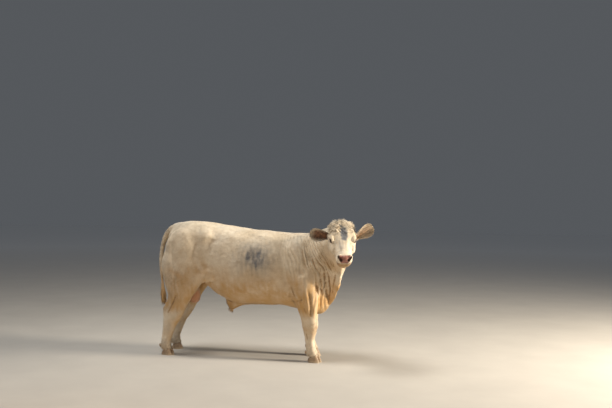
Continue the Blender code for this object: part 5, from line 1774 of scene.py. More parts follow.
@dataclass(frozen=True)
class HornFinish:
    """The horn of the claws: grown in rings, dark at the coronet, worn pale and soiled at the sole."""

    dark: Colour = (0.26, 0.18, 0.12, 1.0)
    middle: Colour = (0.5, 0.38, 0.26, 1.0)
    worn: Colour = (0.62, 0.52, 0.38, 1.0)
    soil: Colour = (0.3, 0.22, 0.14, 1.0)

    def material(self, name: str) -> bpy.types.Material:
        """The finish as a material that reads the height up each claw."""
        bench = Bench.new(name)
        height = bench.attribute("claw_height").outputs["Fac"]
        where = bench.place()
        streaks = bench.ranged(bench.noise(bench.place((140.0, 140.0, 14.0)), 1.0, 4.0, 0.6), 0.32, 0.68)
        rings = bench.add("ShaderNodeTexWave", Vector=where, Scale=58.0, Distortion=2.2, Detail=2.0)
        rings.bands_direction = "Z"
        colour = bench.mix(streaks, self.middle, self.dark)
        colour = bench.mix(bench.ranged(height, 0.35, 0.0, 0.0, 0.7), colour, self.worn)
        colour = bench.mix(bench.ranged(height, 0.8, 1.0, 0.0, 0.8), colour, self.dark)
        crust = bench.ranged(bench.noise(where, 70.0, 5.0, 0.7), 0.5, 0.68)
        colour = bench.over(colour, self.soil, crust, 0.6)
        surface = bench.bump(rings.outputs["Fac"], 0.35, 0.0008)
        surface = bench.bump(bench.noise(where, 160.0, 4.0, 0.6), 0.3, 0.0006, surface)
        rough = bench.ranged(crust, 0.0, 1.0, 0.42, 0.8)
        return bench.finish(Base_Color=colour, Roughness=rough, Normal=surface)


HIDE_FINISH = HideFinish()


@dataclass(frozen=True)
class Claws:
    """The two claws and two dewclaws of one foot.

    Rows from the sole up: front, its height, rear, its height, half width, roundness in front and behind.
    """

    legs: Legs
    side: Side
    rows: Rows = (
        (0.07, 0, -0.062, 0, 0.0275, 1.7, 2.6),
        (0.068, 0.01, -0.064, 0.008, 0.0285, 1.7, 2.6),
        (0.058, 0.036, -0.063, 0.024, 0.0275, 1.8, 2.5),
        (0.044, 0.064, -0.058, 0.04, 0.025, 1.9, 2.4),
        (0.032, 0.079, -0.048, 0.05, 0.02, 2, 2.2),
        (0.022, 0.084, -0.036, 0.057, 0.013, 2, 2),
    )
    aside: float = 0.0305
    toe_in: float = 0.004
    ring_height: float = 0.0065
    ring_rise: float = 0.0005
    dewclaw_radii: Place = (0.016, 0.013, 0.024)
    dewclaw_lean: float = math.radians(-25)
    dewclaw_aside: float = 0.026
    dewclaw_height: float = 0.098

    def claw(self, hand: int) -> tuple[Form, Array]:
        """One claw, flat under its sole, with growth rings: a wave of 6.5 mm up the wall, out by 0.5 mm.

        Args:
            hand: 1 for the left one, -1 for the right one.

        Returns:
            The form in the foot's frame, and how high up the claw each point is, from 0 to 1.
        """
        rows = []
        for front, front_z, rear, rear_z, wide, round_front, round_rear in self.rows:
            y = hand * self.aside
            toe = y - hand * self.toe_in * (front_z < 0.05)
            rows.append((front, toe, front_z, rear, y, rear_z, wide, 0.45, round_front, round_rear))
        points, faces = keel(rows, 46, 56)
        points[:, 2] = np.where(points[:, 2] < 0.001, 0.0, points[:, 2])
        slope = 0.3 * (points[:, 0] + 0.06) / 0.13
        height = points[:, 2] / (0.052 + 0.034 * slope / 0.3)
        middle = np.array((-0.004, hand * self.aside))
        out = unit(points[:, :2] - middle)
        grown = wave(points[:, 2] - 0.16 * points[:, 0], self.ring_height)
        shown = rising(points[:, 2], 0.002, 0.008) * falling(height, 0.85, 1.0)
        points[:, :2] += out * (self.ring_rise * (grown - 1) * shown)[:, None]
        return (points, faces), np.clip(height, 0, 1)

    def dewclaw(self, hand: int) -> tuple[Form, Array]:
        """One of the two small claws behind the fetlock: a blunt cone with a ringed wall."""
        back = -0.086 if self.legs is Legs.FORE else -0.082
        points, faces = ellipsoid((0, 0, 0), (1, 1, 1), np.eye(3), 36, 30)
        taper = 0.8 + 0.2 * rising(points[:, 2], -1.0, 0.2)
        ring = 1 + 0.02 * np.sin(points[:, 2] * 16)
        shaped = points * np.stack([taper * ring, taper * ring, 0 * taper + 1], axis=1)
        shaped = (shaped * np.array(self.dewclaw_radii)) @ leaning(self.dewclaw_lean).T
        shaped += np.array((back, hand * self.dewclaw_aside, self.dewclaw_height))
        return (shaped, faces), np.clip(points[:, 2] * 0.5 + 0.5, 0, 1)

    def make(self) -> Piece:
        """Builds and dresses the claws of the foot."""
        parts = [self.claw(hand) for hand in (1, -1)]
        small = [self.dewclaw(hand) for hand in (1, -1)]
        scale = 1.0 if self.legs is Legs.FORE else Limbs().hind_scale
        place, axes = Limbs().foot(self.legs, self.side)
        forms = [((points * scale) @ axes + place, faces) for (points, faces), _ in parts]
        forms += [(points @ axes + place, faces) for (points, faces), _ in small]
        foot = f"{self.legs.value}_{self.side.word}"
        obj = mesh_object(f"claws_{foot}", joined(forms))
        store(obj, "claw_height", np.concatenate([height for _, height in parts + small]), "FLOAT")
        obj.data.materials.append(HornFinish().material(obj.name))
        return finished(obj, [f"claw_{foot}_{hand}" for hand in ("left", "right")])


@dataclass(frozen=True)
class Studio:
    """A pale floor, soft light and the camera."""

    camera_place: Place = (2.375, -9.04, 1.72)
    look: Place = (-0.208, 0.978, -0.0047)
    roll: float = math.radians(0.7)
    focal_length: float = 50.0
    floor_half: float = 40.0
    lit_place: Place = (0.0, 0.0, 0.85)

    def floor(self) -> Piece:
        """The floor: a plane at height 0."""
        h = self.floor_half
        corners = np.array(((-h, -h, 0), (h, -h, 0), (h, h, 0), (-h, h, 0)), dtype=float)
        obj = mesh_object("floor", (corners, np.array(((0, 1, 2), (0, 2, 3)))))
        bench = Bench.new("pale_floor")
        grain = bench.ranged(bench.noise(bench.place(), 1.4, 5.0, 0.6), 0.3, 0.7)
        near = bench.mix(grain, (0.47, 0.46, 0.44, 1), (0.52, 0.51, 0.485, 1))
        far = bench.ranged(bench.length(bench.place()), 5.0, 22.0)
        colour = bench.mix(far, near, (0.97, 0.97, 0.97, 1))
        obj.data.materials.append(bench.finish(Base_Color=colour, Roughness=0.85))
        return obj

    def lamp(self, name: str, place: Array, size: float, power: float, colour: Place) -> None:
        """A square area lamp that points at the animal's middle.

        Args:
            name: the lamp's name.
            place: where it hangs.
            size: the length of its sides.
            power: its power in watts.
            colour: its colour.
        """
        data = bpy.data.lights.new(name, "AREA")
        data.shape = "SQUARE"
        data.size = size
        data.energy = power
        data.color = colour
        obj = placed(name, data)
        turn = (Vector(self.lit_place) - Vector(place)).to_track_quat("-Z", "Y").to_matrix().to_4x4()
        obj.matrix_world = Matrix.Translation(Vector(place)) @ turn

    def camera(self) -> Piece:
        """The camera at the photograph's viewing angle."""
        data = bpy.data.cameras.new("camera")
        data.sensor_width = 36.0
        data.lens = self.focal_length
        data.clip_end = 200.0
        obj = placed("camera", data)
        place = Vector(np.array(self.camera_place) + SHIFT)
        turn = Vector(self.look).to_track_quat("-Z", "Y").to_matrix().to_4x4()
        obj.matrix_world = Matrix.Translation(place) @ turn @ Matrix.Rotation(self.roll, 4, "Z")
        bpy.context.scene.camera = obj
        return obj

    def make(self) -> None:
        """Builds the floor, the lights, the surroundings and the camera."""
        self.floor()
        self.lamp("key", np.array((8.0, 0.2, 3.1)), 1.3, 1150.0, (1.0, 0.86, 0.68))
        self.lamp("fill", np.array((-5.0, -6.0, 3.8)), 3.4, 32.0, (0.7, 0.83, 1.0))
        self.lamp("top", np.array((-1.7, -0.6, 6.6)), 2.2, 300.0, (1.0, 0.93, 0.83))
        self.lamp("bounce", np.array((-0.6, -4.2, 0.35)), 2.4, 34.0, (1.0, 0.56, 0.18))
        world = bpy.data.worlds.new("surroundings")
        world.use_nodes = True
        back = world.node_tree.nodes["Background"]
        back.inputs["Color"].default_value = (0.8, 0.86, 0.94, 1.0)
        back.inputs["Strength"].default_value = 0.115
        bpy.context.scene.world = world
        bpy.context.scene.view_settings.view_transform = "Standard"
        self.camera()


def dress_hide(obj: Piece, hide: "HideMap") -> Piece:
    """Gives the skin its marks and finish, and hides the imported nodes it stands for.

    Args:
        obj: the skin.
        hide: its points, normals and creases.

    Returns:
        The skin.
    """
    store(obj, "marks_a", MARKS.first(hide.points), "FLOAT_COLOR")
    store(obj, "marks_b", MARKS.second(hide.points, hide.ways, hide.creases), "FLOAT_COLOR")
    obj.data.materials.clear()
    obj.data.materials.append(HIDE_FINISH.material("hide", hair=False))
    own = ("claw", "eye", "tail_switch")
    return finished(obj, [name for name in frame["nodes"] if not name.startswith(own)])


class Region(Enum):
    """The regions of the hide, each with a coat of its own."""

    TRUNK_RIGHT_FRONT = "trunk_right_front"
    TRUNK_RIGHT_REAR = "trunk_right_rear"
    TRUNK_LEFT_FRONT = "trunk_left_front"
    TRUNK_LEFT_REAR = "trunk_left_rear"
    NECK_RIGHT = "neck_right"
    NECK_LEFT = "neck_left"
    HEAD = "head"
    EARS = "ears"
    FORELEGS = "forelegs"
    HINDLEGS = "hindlegs"
    TAIL = "tail"

    @property
    def number(self) -> int:
        """The region's place in the order above."""
        return list(Region).index(self)


@dataclass
class HideMap:
    """The finished skin as arrays: its points, normals and triangles, and the region of each triangle."""

    points: Array
    ways: Array
    faces: Array
    regions: Array
    creases: Array

    @classmethod
    def of(cls, obj: Piece) -> "HideMap":
        """Reads the skin's mesh, in the animal's own frame."""
        mesh = obj.data
        mesh.calc_loop_triangles()
        faces = read(mesh.loop_triangles, "vertices", 3)
        points, ways = coordinates(obj), normals(obj)
        on_trunk = falling(points[:, 0], 0.5, 0.62) * rising(points[:, 2], 0.7, 0.85)
        pairs = np.concatenate([faces[:, (0, 1)], faces[:, (1, 2)], faces[:, (2, 0)]])
        # Creases and the neck's fold valleys are kept to paint shade into them, weaker on the trunk.
        creases = cls.creases_of(points, ways, pairs) * (1 - 0.75 * on_trunk)
        creases = np.maximum(creases, Neck().valleys(points, pairs))
        return cls(points, ways, faces, cls.regions_of(points[faces].mean(axis=1)), creases)

    @staticmethod
    def creases_of(points: Array, ways: Array, pairs: Array, rounds: int = 10) -> Array:
        """How far each point lies in a crease: how much the skin around it, evened out, stands above it.

        Args:
            points: the skin's points.
            ways: its normals.
            pairs: the numbers of neighbouring points.
            rounds: how often each point is moved to the mean of its neighbours to even the skin out.

        Returns:
            A value from 0 to 1 for each point.
        """
        return rising(dot(evened(points, pairs, rounds) - points, ways), 0.001, 0.0046)

    @staticmethod
    def regions_of(points: Array) -> Array:
        """The number of the region in which each point lies."""
        x, y, z = points.T
        s, aside, out = HEAD.into(points).T
        front = x > -0.27
        neck = (x - 0.56) * 0.96 - y * 0.19 + (z - 1.15) * 0.2 > 0
        side = (y + 0.62 * (x - 0.45)) < 0
        head = (0.173 * (out - 0.12) + 0.42 * (s + 0.111) > 0) & (np.abs(aside) < 0.3)
        on_ear = np.zeros(len(points), bool)
        for ear in EARS.values():
            along, across, up = ear.local(points).T
            on_ear |= (along > 0.045) & (np.abs(across) < 0.1) & (up > -0.03) & (up < 0.12)
        found = np.full(len(points), Region.TRUNK_LEFT_REAR.number)
        for inside, region in (
            (y < 0, Region.TRUNK_RIGHT_REAR),
            (front & (y < 0), Region.TRUNK_RIGHT_FRONT),
            (front & (y >= 0), Region.TRUNK_LEFT_FRONT),
            (neck & side, Region.NECK_RIGHT),
            (neck & ~side, Region.NECK_LEFT),
            ((z < 0.715) & (x > 0.3) & (x < 0.8) & (np.abs(y) > 0.085), Region.FORELEGS),
            ((z < 0.8) & (x < -0.58) & (x > -1.3) & (np.abs(y) > 0.075), Region.HINDLEGS),
            ((x < -1.105) & (np.abs(y) < 0.075), Region.TAIL),
            (head & (s > -0.12) & (out > -0.34) & (x > 0.7), Region.HEAD),
            (on_ear & (np.abs(aside) > 0.13), Region.EARS),
        ):
            found[inside] = region.number
        return found

    def roots(self, region: Region, count: int, dice: np.random.Generator) -> tuple[Array, Array, Array]:
        """Places spread evenly at random over a region: drawn by area, then one kept in each cell of a grid.

        Args:
            region: where.
            count: about how many.
            dice: the random draws.

        Returns:
            The places, the skin's normals there and how far they lie in a crease.
        """
        faces = self.faces[self.regions == region.number]
        a, b, c = (self.points[faces[:, k]] for k in range(3))
        areas = np.linalg.norm(np.cross(b - a, c - a), axis=1) / 2
        if region is Region.HEAD:
            bare = MARKS.first((a + b + c) / 3)
            areas = areas * (1 - np.clip(bare[:, 0] + bare[:, 1], 0, 1)) * (bare[:, 2] < 0.2)
        chosen = dice.choice(len(faces), count * 3, p=areas / areas.sum())
        u, v = np.sqrt(dice.random((count * 3, 1))), dice.random((count * 3, 1))
        shares = np.concatenate([1 - u, u * (1 - v), u * v], axis=1)
        corners = faces[chosen]
        places = np.einsum("ij,ijk->ik", shares, self.points[corners])
        ways = unit(np.einsum("ij,ijk->ik", shares, self.ways[corners]))
        creases = (shares * self.creases[corners]).sum(axis=1)
        _, kept = np.unique(cells(places, math.sqrt(areas.sum() / count) * 0.92), return_index=True)
        kept = dice.permutation(kept)[:count]
        return places[kept], ways[kept], creases[kept]


@dataclass(frozen=True)
class Lie:
    """Which way the coat lies: back along the body, down the legs and away from the whorl on the face."""

    whorl: Place = (0.15, 0.004, 0.02)
    waver: float = 0.22

    def along(self, points: Array, ways: Array, dice: np.random.Generator) -> Array:
        """The direction of the hair at points of the skin, in the skin's plane.

        The directions of trunk, neck, legs, tail and head are summed by how far each holds at a point, laid
        in the plane across the normal, and turned a little by a smooth random angle.

        Args:
            points: points of the skin.
            ways: its normals.
            dice: the random draws.

        Returns:
            The directions, of length 1.
        """
        x, y, z = points.T
        on_head = head_nearness(points, 0.27, 0.35)[:, None]
        on_neck = (rising(x, 0.42, 0.68) * (1 - on_head[:, 0]))[:, None]
        low = falling(z, 0.68, 0.86) * rising(np.abs(y), 0.06, 0.11)
        on_leg = (low * (rising(x, 0.28, 0.36) + falling(x, -0.66, -0.55)))[:, None]
        on_tail = (falling(x, -1.12, -1.06) * falling(np.abs(y), 0.07, 0.1))[:, None]
        side = np.sign(y) * rising(ways[:, 2], 0.3, 0.8)
        trunk = np.stack([-np.ones(len(x)), 0.3 * side, -0.3 - 0.25 * falling(x, -0.9, -0.5)], axis=1)
        neck = np.array((-0.7, 0.45, -0.62)) - np.array((0.0, 0.0, 0.9)) * falling(z, 0.75, 1.05)[:, None]
        leg = np.array((-0.12, 0.0, -1.0))
        tail = np.array((-0.05, 0.0, -1.0))
        places = HEAD.into(points)
        spoke = (places - np.array(self.whorl)) @ HEAD.axes().T
        way = trunk * (1 - on_neck) + neck * on_neck
        way = way * (1 - on_leg) + leg * on_leg
        way = way * (1 - on_tail) + tail * on_tail
        way = unit(way) * (1 - on_head) + unit(spoke) * on_head
        for ear in EARS.values():
            root, axes = ear.frame()
            reach = rising((points - root) @ axes[0], 0.02, 0.06)[:, None]
            near = (far_from(points, root + axes[0] * 0.12) < 0.16)[:, None]
            way = np.where(near, way * (1 - reach) + axes[0] * reach, way)
        angle = self.waver * soft_noise(points, 0.11, 31) + dice.normal(0, 0.13, len(points))
        return turned(laid_flat(way, ways), ways, angle)


@dataclass(frozen=True)
class Lock:
    """A kind of tuft or lock: a thin solid blade with a three-cornered section, tapered to its tip.

    With u from root to tip, the middle runs along the lie by L sin(c u) / c and aside by
    L (1 - cos(c u)) / c, where c is the curl. It rises from the skin by the lift times L u^0.8, its root a
    little under it. Its half width is that of the root times 1 - 0.92 u^1.7.
    """

    length: float
    width: float
    thickness: float
    lift: float
    curl: float = 0.0
    rings: int = 2
    sunk: float = 0.0012

    def grow(
        self, roots: Array, ways: Array, lie: Array, scale: Array, turn: Array, lean: Array
    ) -> tuple[Array, Array, Array]:
        """The locks on a set of roots.

        Args:
            roots: where they grow.
            ways: the skin's normals there.
            lie: the directions in which they lie.
            scale: a factor on each lock's length.
            turn: a factor from -1 to 1 on each lock's curl.
            lean: the angle, from the skin's plane, of the way in which each lock curls.

        Returns:
            The points as locks x points x 3, the triangles of one lock, and for each of its points the place
            across and along it.
        """
        across = unit(np.cross(ways, lie))[:, None, :]
        up, lie = ways[:, None, :], lie[:, None, :]
        u = np.append(np.arange(self.rings) / self.rings, 1.0)
        bend = np.where(np.abs(self.curl * turn) < 1e-3, 1e-3, self.curl * turn)[:, None]
        reach = (self.length * scale)[:, None]
        ahead = (reach * np.sin(bend * u) / bend)[..., None]
        aside = (reach * (1 - np.cos(bend * u)) / bend)[..., None]
        hook = across * np.cos(lean)[:, None, None] + up * np.sin(lean)[:, None, None]
        rise = (self.lift * reach * u[None, :] ** 0.8 - self.sunk * (1 - u[None, :]) ** 2)[..., None]
        middle = roots[:, None, :] + lie * ahead + hook * aside + up * rise
        run = unit(np.gradient(middle, axis=1))
        flat = unit(np.cross(up, run) + 1e-6 * across)
        top = unit(np.cross(run, flat))
        wide = (self.width / 2 * (1 - 0.92 * u**1.7))[None, :, None]
        high = (self.thickness * (1 - 0.8 * u))[None, :, None]
        rings = np.stack([middle - flat * wide, middle + flat * wide, middle + top * high], axis=2)
        points = np.concatenate([rings[:, :-1].reshape(len(roots), -1, 3), middle[:, -1:]], axis=1)
        ring, side = np.meshgrid(np.arange(self.rings - 1), np.arange(3), indexing="ij")
        a, b = (ring * 3 + side).ravel(), (ring * 3 + (side + 1) % 3).ravel()
        tip, last = 3 * self.rings, 3 * (self.rings - 1)
        ends = np.array([(last, last + 1, tip), (last + 1, last + 2, tip), (last + 2, last, tip), (2, 1, 0)])
        faces = np.concatenate([np.stack([a, b, b + 3], axis=1), np.stack([a, b + 3, a + 3], axis=1), ends])
        sides = np.tile((-1.0, 1.0, 0.0), self.rings)
        places = np.stack([np.append(sides, 0.0), np.append(np.repeat(u[:-1], 3), 1.0)], axis=1)
        return points, faces, places


@dataclass
class Coat:
    """The hair of one region as a single mesh, dressed like the skin under it."""

    name: str
    seed: int
    slot: str = "coat"
    points: list[Array] = field(default_factory=list)
    faces: list[Array] = field(default_factory=list)
    patches: list[Array] = field(default_factory=list)
    shading: list[Array] = field(default_factory=list)
    first: list[Array] = field(default_factory=list)
    second: list[Array] = field(default_factory=list)
    patch_size: float = 0.003

    def __post_init__(self) -> None:
        """Starts the coat's own random draws."""
        self.dice = np.random.default_rng(self.seed)
        self.total = 0

    def add(
        self, lock: Lock, roots: Array, ways: Array, lie: Array, chart: Array, scale: Array,
        turn: Array | None = None, lean: Array | None = None, shade: float = 0.0, crease: Array | None = None,
    ) -> None:
        """Grows locks and keeps them with their marks and their patch on the unwrap.

        Args:
            lock: the kind of lock.
            roots: where they grow.
            ways: the normals there.
            lie: the directions in which they lie.
            chart: the place of each root on the unwrap.
            scale: a factor on each lock's length.
            turn: a factor on each lock's curl.
            lean: the angle of the way in which each curls.
            shade: how much lighter the locks are than the rest.
            crease: how far each root lies in a crease.
        """
        count = len(roots)
        turn = self.dice.uniform(-1, 1, count) if turn is None else turn
        lean = np.zeros(count) if lean is None else lean
        points, faces, places = lock.grow(roots, ways, lie, scale, turn, lean)
        each = points.shape[1]
        self.points.append(points.reshape(-1, 3))
        starts = np.arange(count) * each + self.total
        self.faces.append((faces[None] + starts[:, None, None]).reshape(-1, 3))
        offset = (places - np.array((0.0, 0.5))) * np.array((0.5, 1.0)) * self.patch_size
        self.patches.append((chart[:, None, :] + offset[None]).reshape(-1, 2))
        across = np.cross(ways, lie)[:, None, :] * places[None, :, :1]
        tilt = self.dice.normal(0, 0.13, (count, 1, 3))
        self.shading.append(unit(ways[:, None, :] + 0.4 * across + tilt).reshape(-1, 3))
        crease = np.zeros(count) if crease is None else crease
        own = np.clip(self.dice.normal(0.5 + shade, 0.15, (count, 1)), 0.0, 1.0)
        second = np.repeat(MARKS.second(roots, ways, crease), each, axis=0)
        second[:, 3] = np.clip(own + 0.16 * (places[None, :, 1] - 0.4), 0, 1).ravel()
        self.first.append(np.repeat(MARKS.first(roots), each, axis=0))
        self.second.append(second)
        self.total += count * each

    def make(self, stands_for: list[str]) -> Piece:
        """Builds and dresses the mesh."""
        obj = mesh_object(self.name, (np.concatenate(self.points), np.concatenate(self.faces)))
        patches = np.concatenate(self.patches)
        corners = read(obj.data.loops, "vertex_index", 1).ravel()
        unwrap = obj.data.uv_layers.new(name="OFBake")
        unwrap.data.foreach_set("uv", np.clip(patches[corners], 0.001, 0.999).astype(np.float32).ravel())
        store(obj, "marks_a", np.concatenate(self.first), "FLOAT_COLOR")
        store(obj, "marks_b", np.concatenate(self.second), "FLOAT_COLOR")
        obj.data.normals_split_custom_set_from_vertices(np.concatenate(self.shading).astype(np.float32))
        obj.data.materials.append(HIDE_FINISH.material(self.name, hair=True))
        return finished(obj, stands_for)


def unwrap_of(region: Region, points: Array) -> Array:
    """The place of points on the unwrap of their region: how far along it, and the angle round its middle.

    Args:
        region: the region.
        points: the points.

    Returns:
        Two numbers from 0 to 1 for each point.
    """
    x, y, z = points.T
    if region is Region.HEAD or region is Region.EARS:
        s, aside, out = HEAD.into(points).T
        if region is Region.EARS:
            round_root = (np.arctan2(out + 0.09, s - 0.12) / math.pi + 1) / 2
            return np.stack([np.clip(aside / 0.8 + 0.5, 0, 1), round_root], axis=1)
        return np.stack([(s + 0.15) / 0.75, np.arctan2(aside, out + 0.13) / (2 * math.pi) + 0.5], axis=1)
    if region in (Region.NECK_RIGHT, Region.NECK_LEFT):
        along = (0.78 * (x - 0.45) - 0.62 * y + 0.2) / 1.0
        aside = 0.62 * (x - 0.45) + 0.78 * y
        return np.stack([along, np.arctan2(z - 1.05, np.abs(aside)) / math.pi + 0.5], axis=1)
    if region in (Region.FORELEGS, Region.HINDLEGS):
        legs = Legs.FORE if region is Region.FORELEGS else Legs.HIND
        rows = np.array(Limbs().foreleg if legs is Legs.FORE else Limbs().hindleg)[::-1]
        middle = np.interp(z, rows[:, 0], rows[:, 1]) - (y > 0) * Limbs().back(legs, Side.LEFT)
        turn = np.arctan2(np.abs(y) - Limbs().stance, x - middle) / (2 * math.pi) + 0.5
        return np.stack([z / 0.9, turn * 0.48 + 0.5 * (y > 0) + 0.01], axis=1)
    if region is Region.TAIL:
        return np.stack([z / 1.5, np.arctan2(y, x - Trunk().tail_middle(z)) / (2 * math.pi) + 0.5], axis=1)
    return np.stack([(x + 1.2) / 2.1, np.arctan2(z - 1.0, np.abs(y)) / math.pi + 0.5], axis=1)


@dataclass(frozen=True)
class ShortCoat:
    """The short coat of every region: how many tufts, and their length and width."""

    counts: tuple[tuple[Region, int], ...] = (
        (Region.TRUNK_RIGHT_FRONT, 38_000),
        (Region.TRUNK_RIGHT_REAR, 40_000),
        (Region.TRUNK_LEFT_FRONT, 36_000),
        (Region.TRUNK_LEFT_REAR, 38_000),
        (Region.NECK_RIGHT, 30_000),
        (Region.NECK_LEFT, 26_000),
        (Region.HEAD, 30_000),
        (Region.EARS, 9_000),
        (Region.FORELEGS, 24_000),
        (Region.HINDLEGS, 30_000),
        (Region.TAIL, 6_000),
    )
    fine: Lock = Lock(0.0165, 0.0021, 0.0006, 0.11, 0.4, 1)
    coarse: Lock = Lock(0.0165, 0.003, 0.0009, 0.11, 0.4, 1)

    def size(self, points: Array) -> Array:
        """How long the hair is, as a share of 16.5 mm: short on face and legs, long on belly and throat."""
        x, y, z = points.T
        s, _, out = HEAD.into(points).T
        share = 1.0 - 0.34 * rising(x, 0.45, 0.66)
        under = falling(z, 0.55, 0.66) * falling(np.abs(y), 0.05, 0.14)
        throat = rising(x, 0.62, 0.74) * falling(np.abs(y + 0.62 * (x - 0.5)), 0.02, 0.08)
        share += 0.55 * under + 0.45 * throat
        legs = falling(z, 0.58, 0.74) * rising(np.abs(y), 0.07, 0.11)
        share = share * (1 - 0.38 * legs)
        share += 0.35 * legs * band(z, 0.06, 0.1, 0.13, 0.19)
        on_head = head_nearness(points, 0.27, 0.36)
        face = 0.42 + 0.38 * falling(s, 0.12, 0.27) + 0.3 * falling(out, -0.26, -0.2)
        return share * (1 - on_head) + face * on_head

    def make(self, hide: HideMap) -> dict[Region, Coat]:
        """The short tufts of every region, ready for longer locks to be added."""
        coats = {}
        for number, (region, count) in enumerate(self.counts):
            coat = Coat(f"coat_{region.value}", 100 + number)
            lock = self.fine if region in (Region.HEAD, Region.EARS) else self.coarse
            places, ways, creases = hide.roots(region, count, coat.dice)
            lie = LIE.along(places, ways, coat.dice)
            scale = self.size(places) * coat.dice.uniform(0.7, 1.2, len(places))
            coat.add(lock, places, ways, lie, unwrap_of(region, places), scale, crease=creases)
            coats[region] = coat
        return coats


LIE = Lie()


@dataclass(frozen=True)
class PollCurls:
    """The curls of poll and forehead: locks that hook over into rounded clumps, smaller towards the eyes."""

    lock: Lock = Lock(0.029, 0.0024, 0.0013, 0.15, 3.4, 6)
    locks: int = 4600
    clump: float = 0.027
    gathering: float = 26.0

    def make(self, hide: HideMap) -> Piece:
        """Builds and dresses the curls."""
        coat = Coat("poll_curls", 310)
        dice = coat.dice
        places, ways, _ = hide.roots(Region.HEAD, 19_000, dice)
        s, _, out = HEAD.into(places).T
        reach = falling(s, 0.12, 0.215) * rising(out, -0.105, -0.05) + 0.5 * falling(s, -0.03, 0.0)
        kept = np.flatnonzero(dice.random(len(places)) < reach)[: self.locks]
        places, ways, s = places[kept], ways[kept], s[kept]
        _, clump = np.unique(cells(places, self.clump), return_inverse=True)
        middle = np.stack([np.bincount(clump, column) for column in places.T], axis=1)
        inwards = (middle / np.bincount(clump)[:, None])[clump] - places
        lie = LIE.along(places, ways, dice)
        spin = dice.uniform(-1.1, 1.1, clump.max() + 1)[clump]
        lie = turned(laid_flat(unit(lie + self.gathering * inwards), ways), ways, spin)
        turn = np.sign(dice.uniform(-1, 1, clump.max() + 1))[clump] * dice.uniform(0.55, 1.0, len(places))
        lean = dice.uniform(-0.5, 0.9, clump.max() + 1)[clump] + dice.normal(0, 0.2, len(places))
        scale = (1.0 - 0.45 * rising(s, 0.06, 0.19)) * dice.uniform(0.75, 1.2, len(places))
        chart = unwrap_of(Region.HEAD, places)
        coat.add(self.lock, places, ways, lie, chart, scale, turn, np.abs(lean), 0.02)
        return coat.make([])


@dataclass(frozen=True)
class EarHair:
    """The long hair in the cups of the ears and the fringe round their rims."""

    inner: Lock = Lock(0.031, 0.0018, 0.0008, 0.08, 0.9, 4)
    fringe: Lock = Lock(0.025, 0.0017, 0.0007, 0.05, 0.8, 3)
    inner_locks: int = 900
    fringe_locks: int = 1150

    def add_to(self, coat: Coat) -> None:
        """Adds the hair of both ears to the ears' coat."""
        dice = coat.dice
        for ear in EARS.values():
            along = dice.uniform(0.1, 0.93, self.inner_locks)
            hand = np.sign(dice.uniform(-1, 1, self.inner_locks))
            across = hand * dice.uniform(0.1, 0.98, self.inner_locks) ** 0.6
            self.grow(coat, ear, self.inner, along, across, (0.8, -0.55, 0.35), 0.0)
            along = dice.uniform(0.12, 0.995, self.fringe_locks) ** 0.8
            hand = np.sign(dice.uniform(-1, 1, self.fringe_locks))
            across = hand * dice.uniform(0.93, 1.0, self.fringe_locks)
            self.grow(coat, ear, self.fringe, along, across, (0.7, 0.75, 0.1), 0.25)

    def grow(
        self, coat: Coat, ear: Ear, lock: Lock, along: Array, across: Array, mix: Place, shade: float
    ) -> None:
        """Adds locks at places of an ear's leaf.

        Args:
            coat: the coat they are added to.
            ear: the ear.
            lock: the kind of lock.
            along: shares of the ear's length.
            across: places across it.
            mix: how far the locks lie along the ear, out over its rim and into the cup.
            shade: how much lighter they are.
        """
        step = 1e-3
        face = ear.face(along, across)
        points = ear.leaf(along, across) + face * 0.002
        forward = unit(ear.leaf(along + step, across) - ear.leaf(along - step, across))
        over_rim = unit(ear.leaf(along, across + step) - ear.leaf(along, across - step))
        over_rim *= np.sign(across)[:, None]
        way = forward * mix[0] + over_rim * mix[1] + face * mix[2]
        way = unit(way + coat.dice.normal(0, 0.16, face.shape))
        up = laid_flat(face, way)
        side = 0.25 if ear.side is Side.LEFT else 0.75
        chart = np.stack([along * 0.9 + 0.05, across * 0.2 + side], axis=1)
        scale = coat.dice.uniform(0.6, 1.15, len(along)) * (1.0 - 0.35 * rising(along, 0.75, 1.0))
        coat.add(lock, points, up, way, chart, scale, shade=shade)


@dataclass(frozen=True)
class Switch:
    """The switch: flat tapered locks that grow from the end of the tail and hang down round it."""

    lock: Lock = Lock(0.19, 0.008, 0.0022, 0.0, 0.35, 9)
    locks: int = 460
    top: float = 0.8
    run: float = 0.1

    def make(self) -> Piece:
        """Builds and dresses the switch."""
        coat = Coat("switch", 300, "switch_hair")
        dice = coat.dice
        share = dice.uniform(0, 1, self.locks) ** 0.8
        angle = dice.uniform(0, 2 * math.pi, self.locks)
        z = self.top - 0.012 - self.run * share
        out = np.stack([np.cos(angle), np.sin(angle), 0 * angle], axis=1)
        middle = np.stack([Trunk().tail_middle(np.maximum(z, 0.735)), 0 * z, z], axis=1)
        places = middle + out * (0.013 * (1 - 0.5 * share))[:, None]
        spread = (0.13 * dice.uniform(-0.4, 1.0, self.locks))[:, None]
        lie = unit(np.array((0.1, 0.0, -1.0)) + out * spread + dice.normal(0, 0.035, out.shape))
        ways = laid_flat(out, lie)
        scale = (0.72 + 0.22 * share) * dice.uniform(0.82, 1.1, self.locks)
        chart = np.stack([0.05 + 0.9 * share, angle / (2 * math.pi)], axis=1)
        coat.add(self.lock, places, ways, lie, chart, scale, shade=-0.05)
        return coat.make(["tail_switch"])


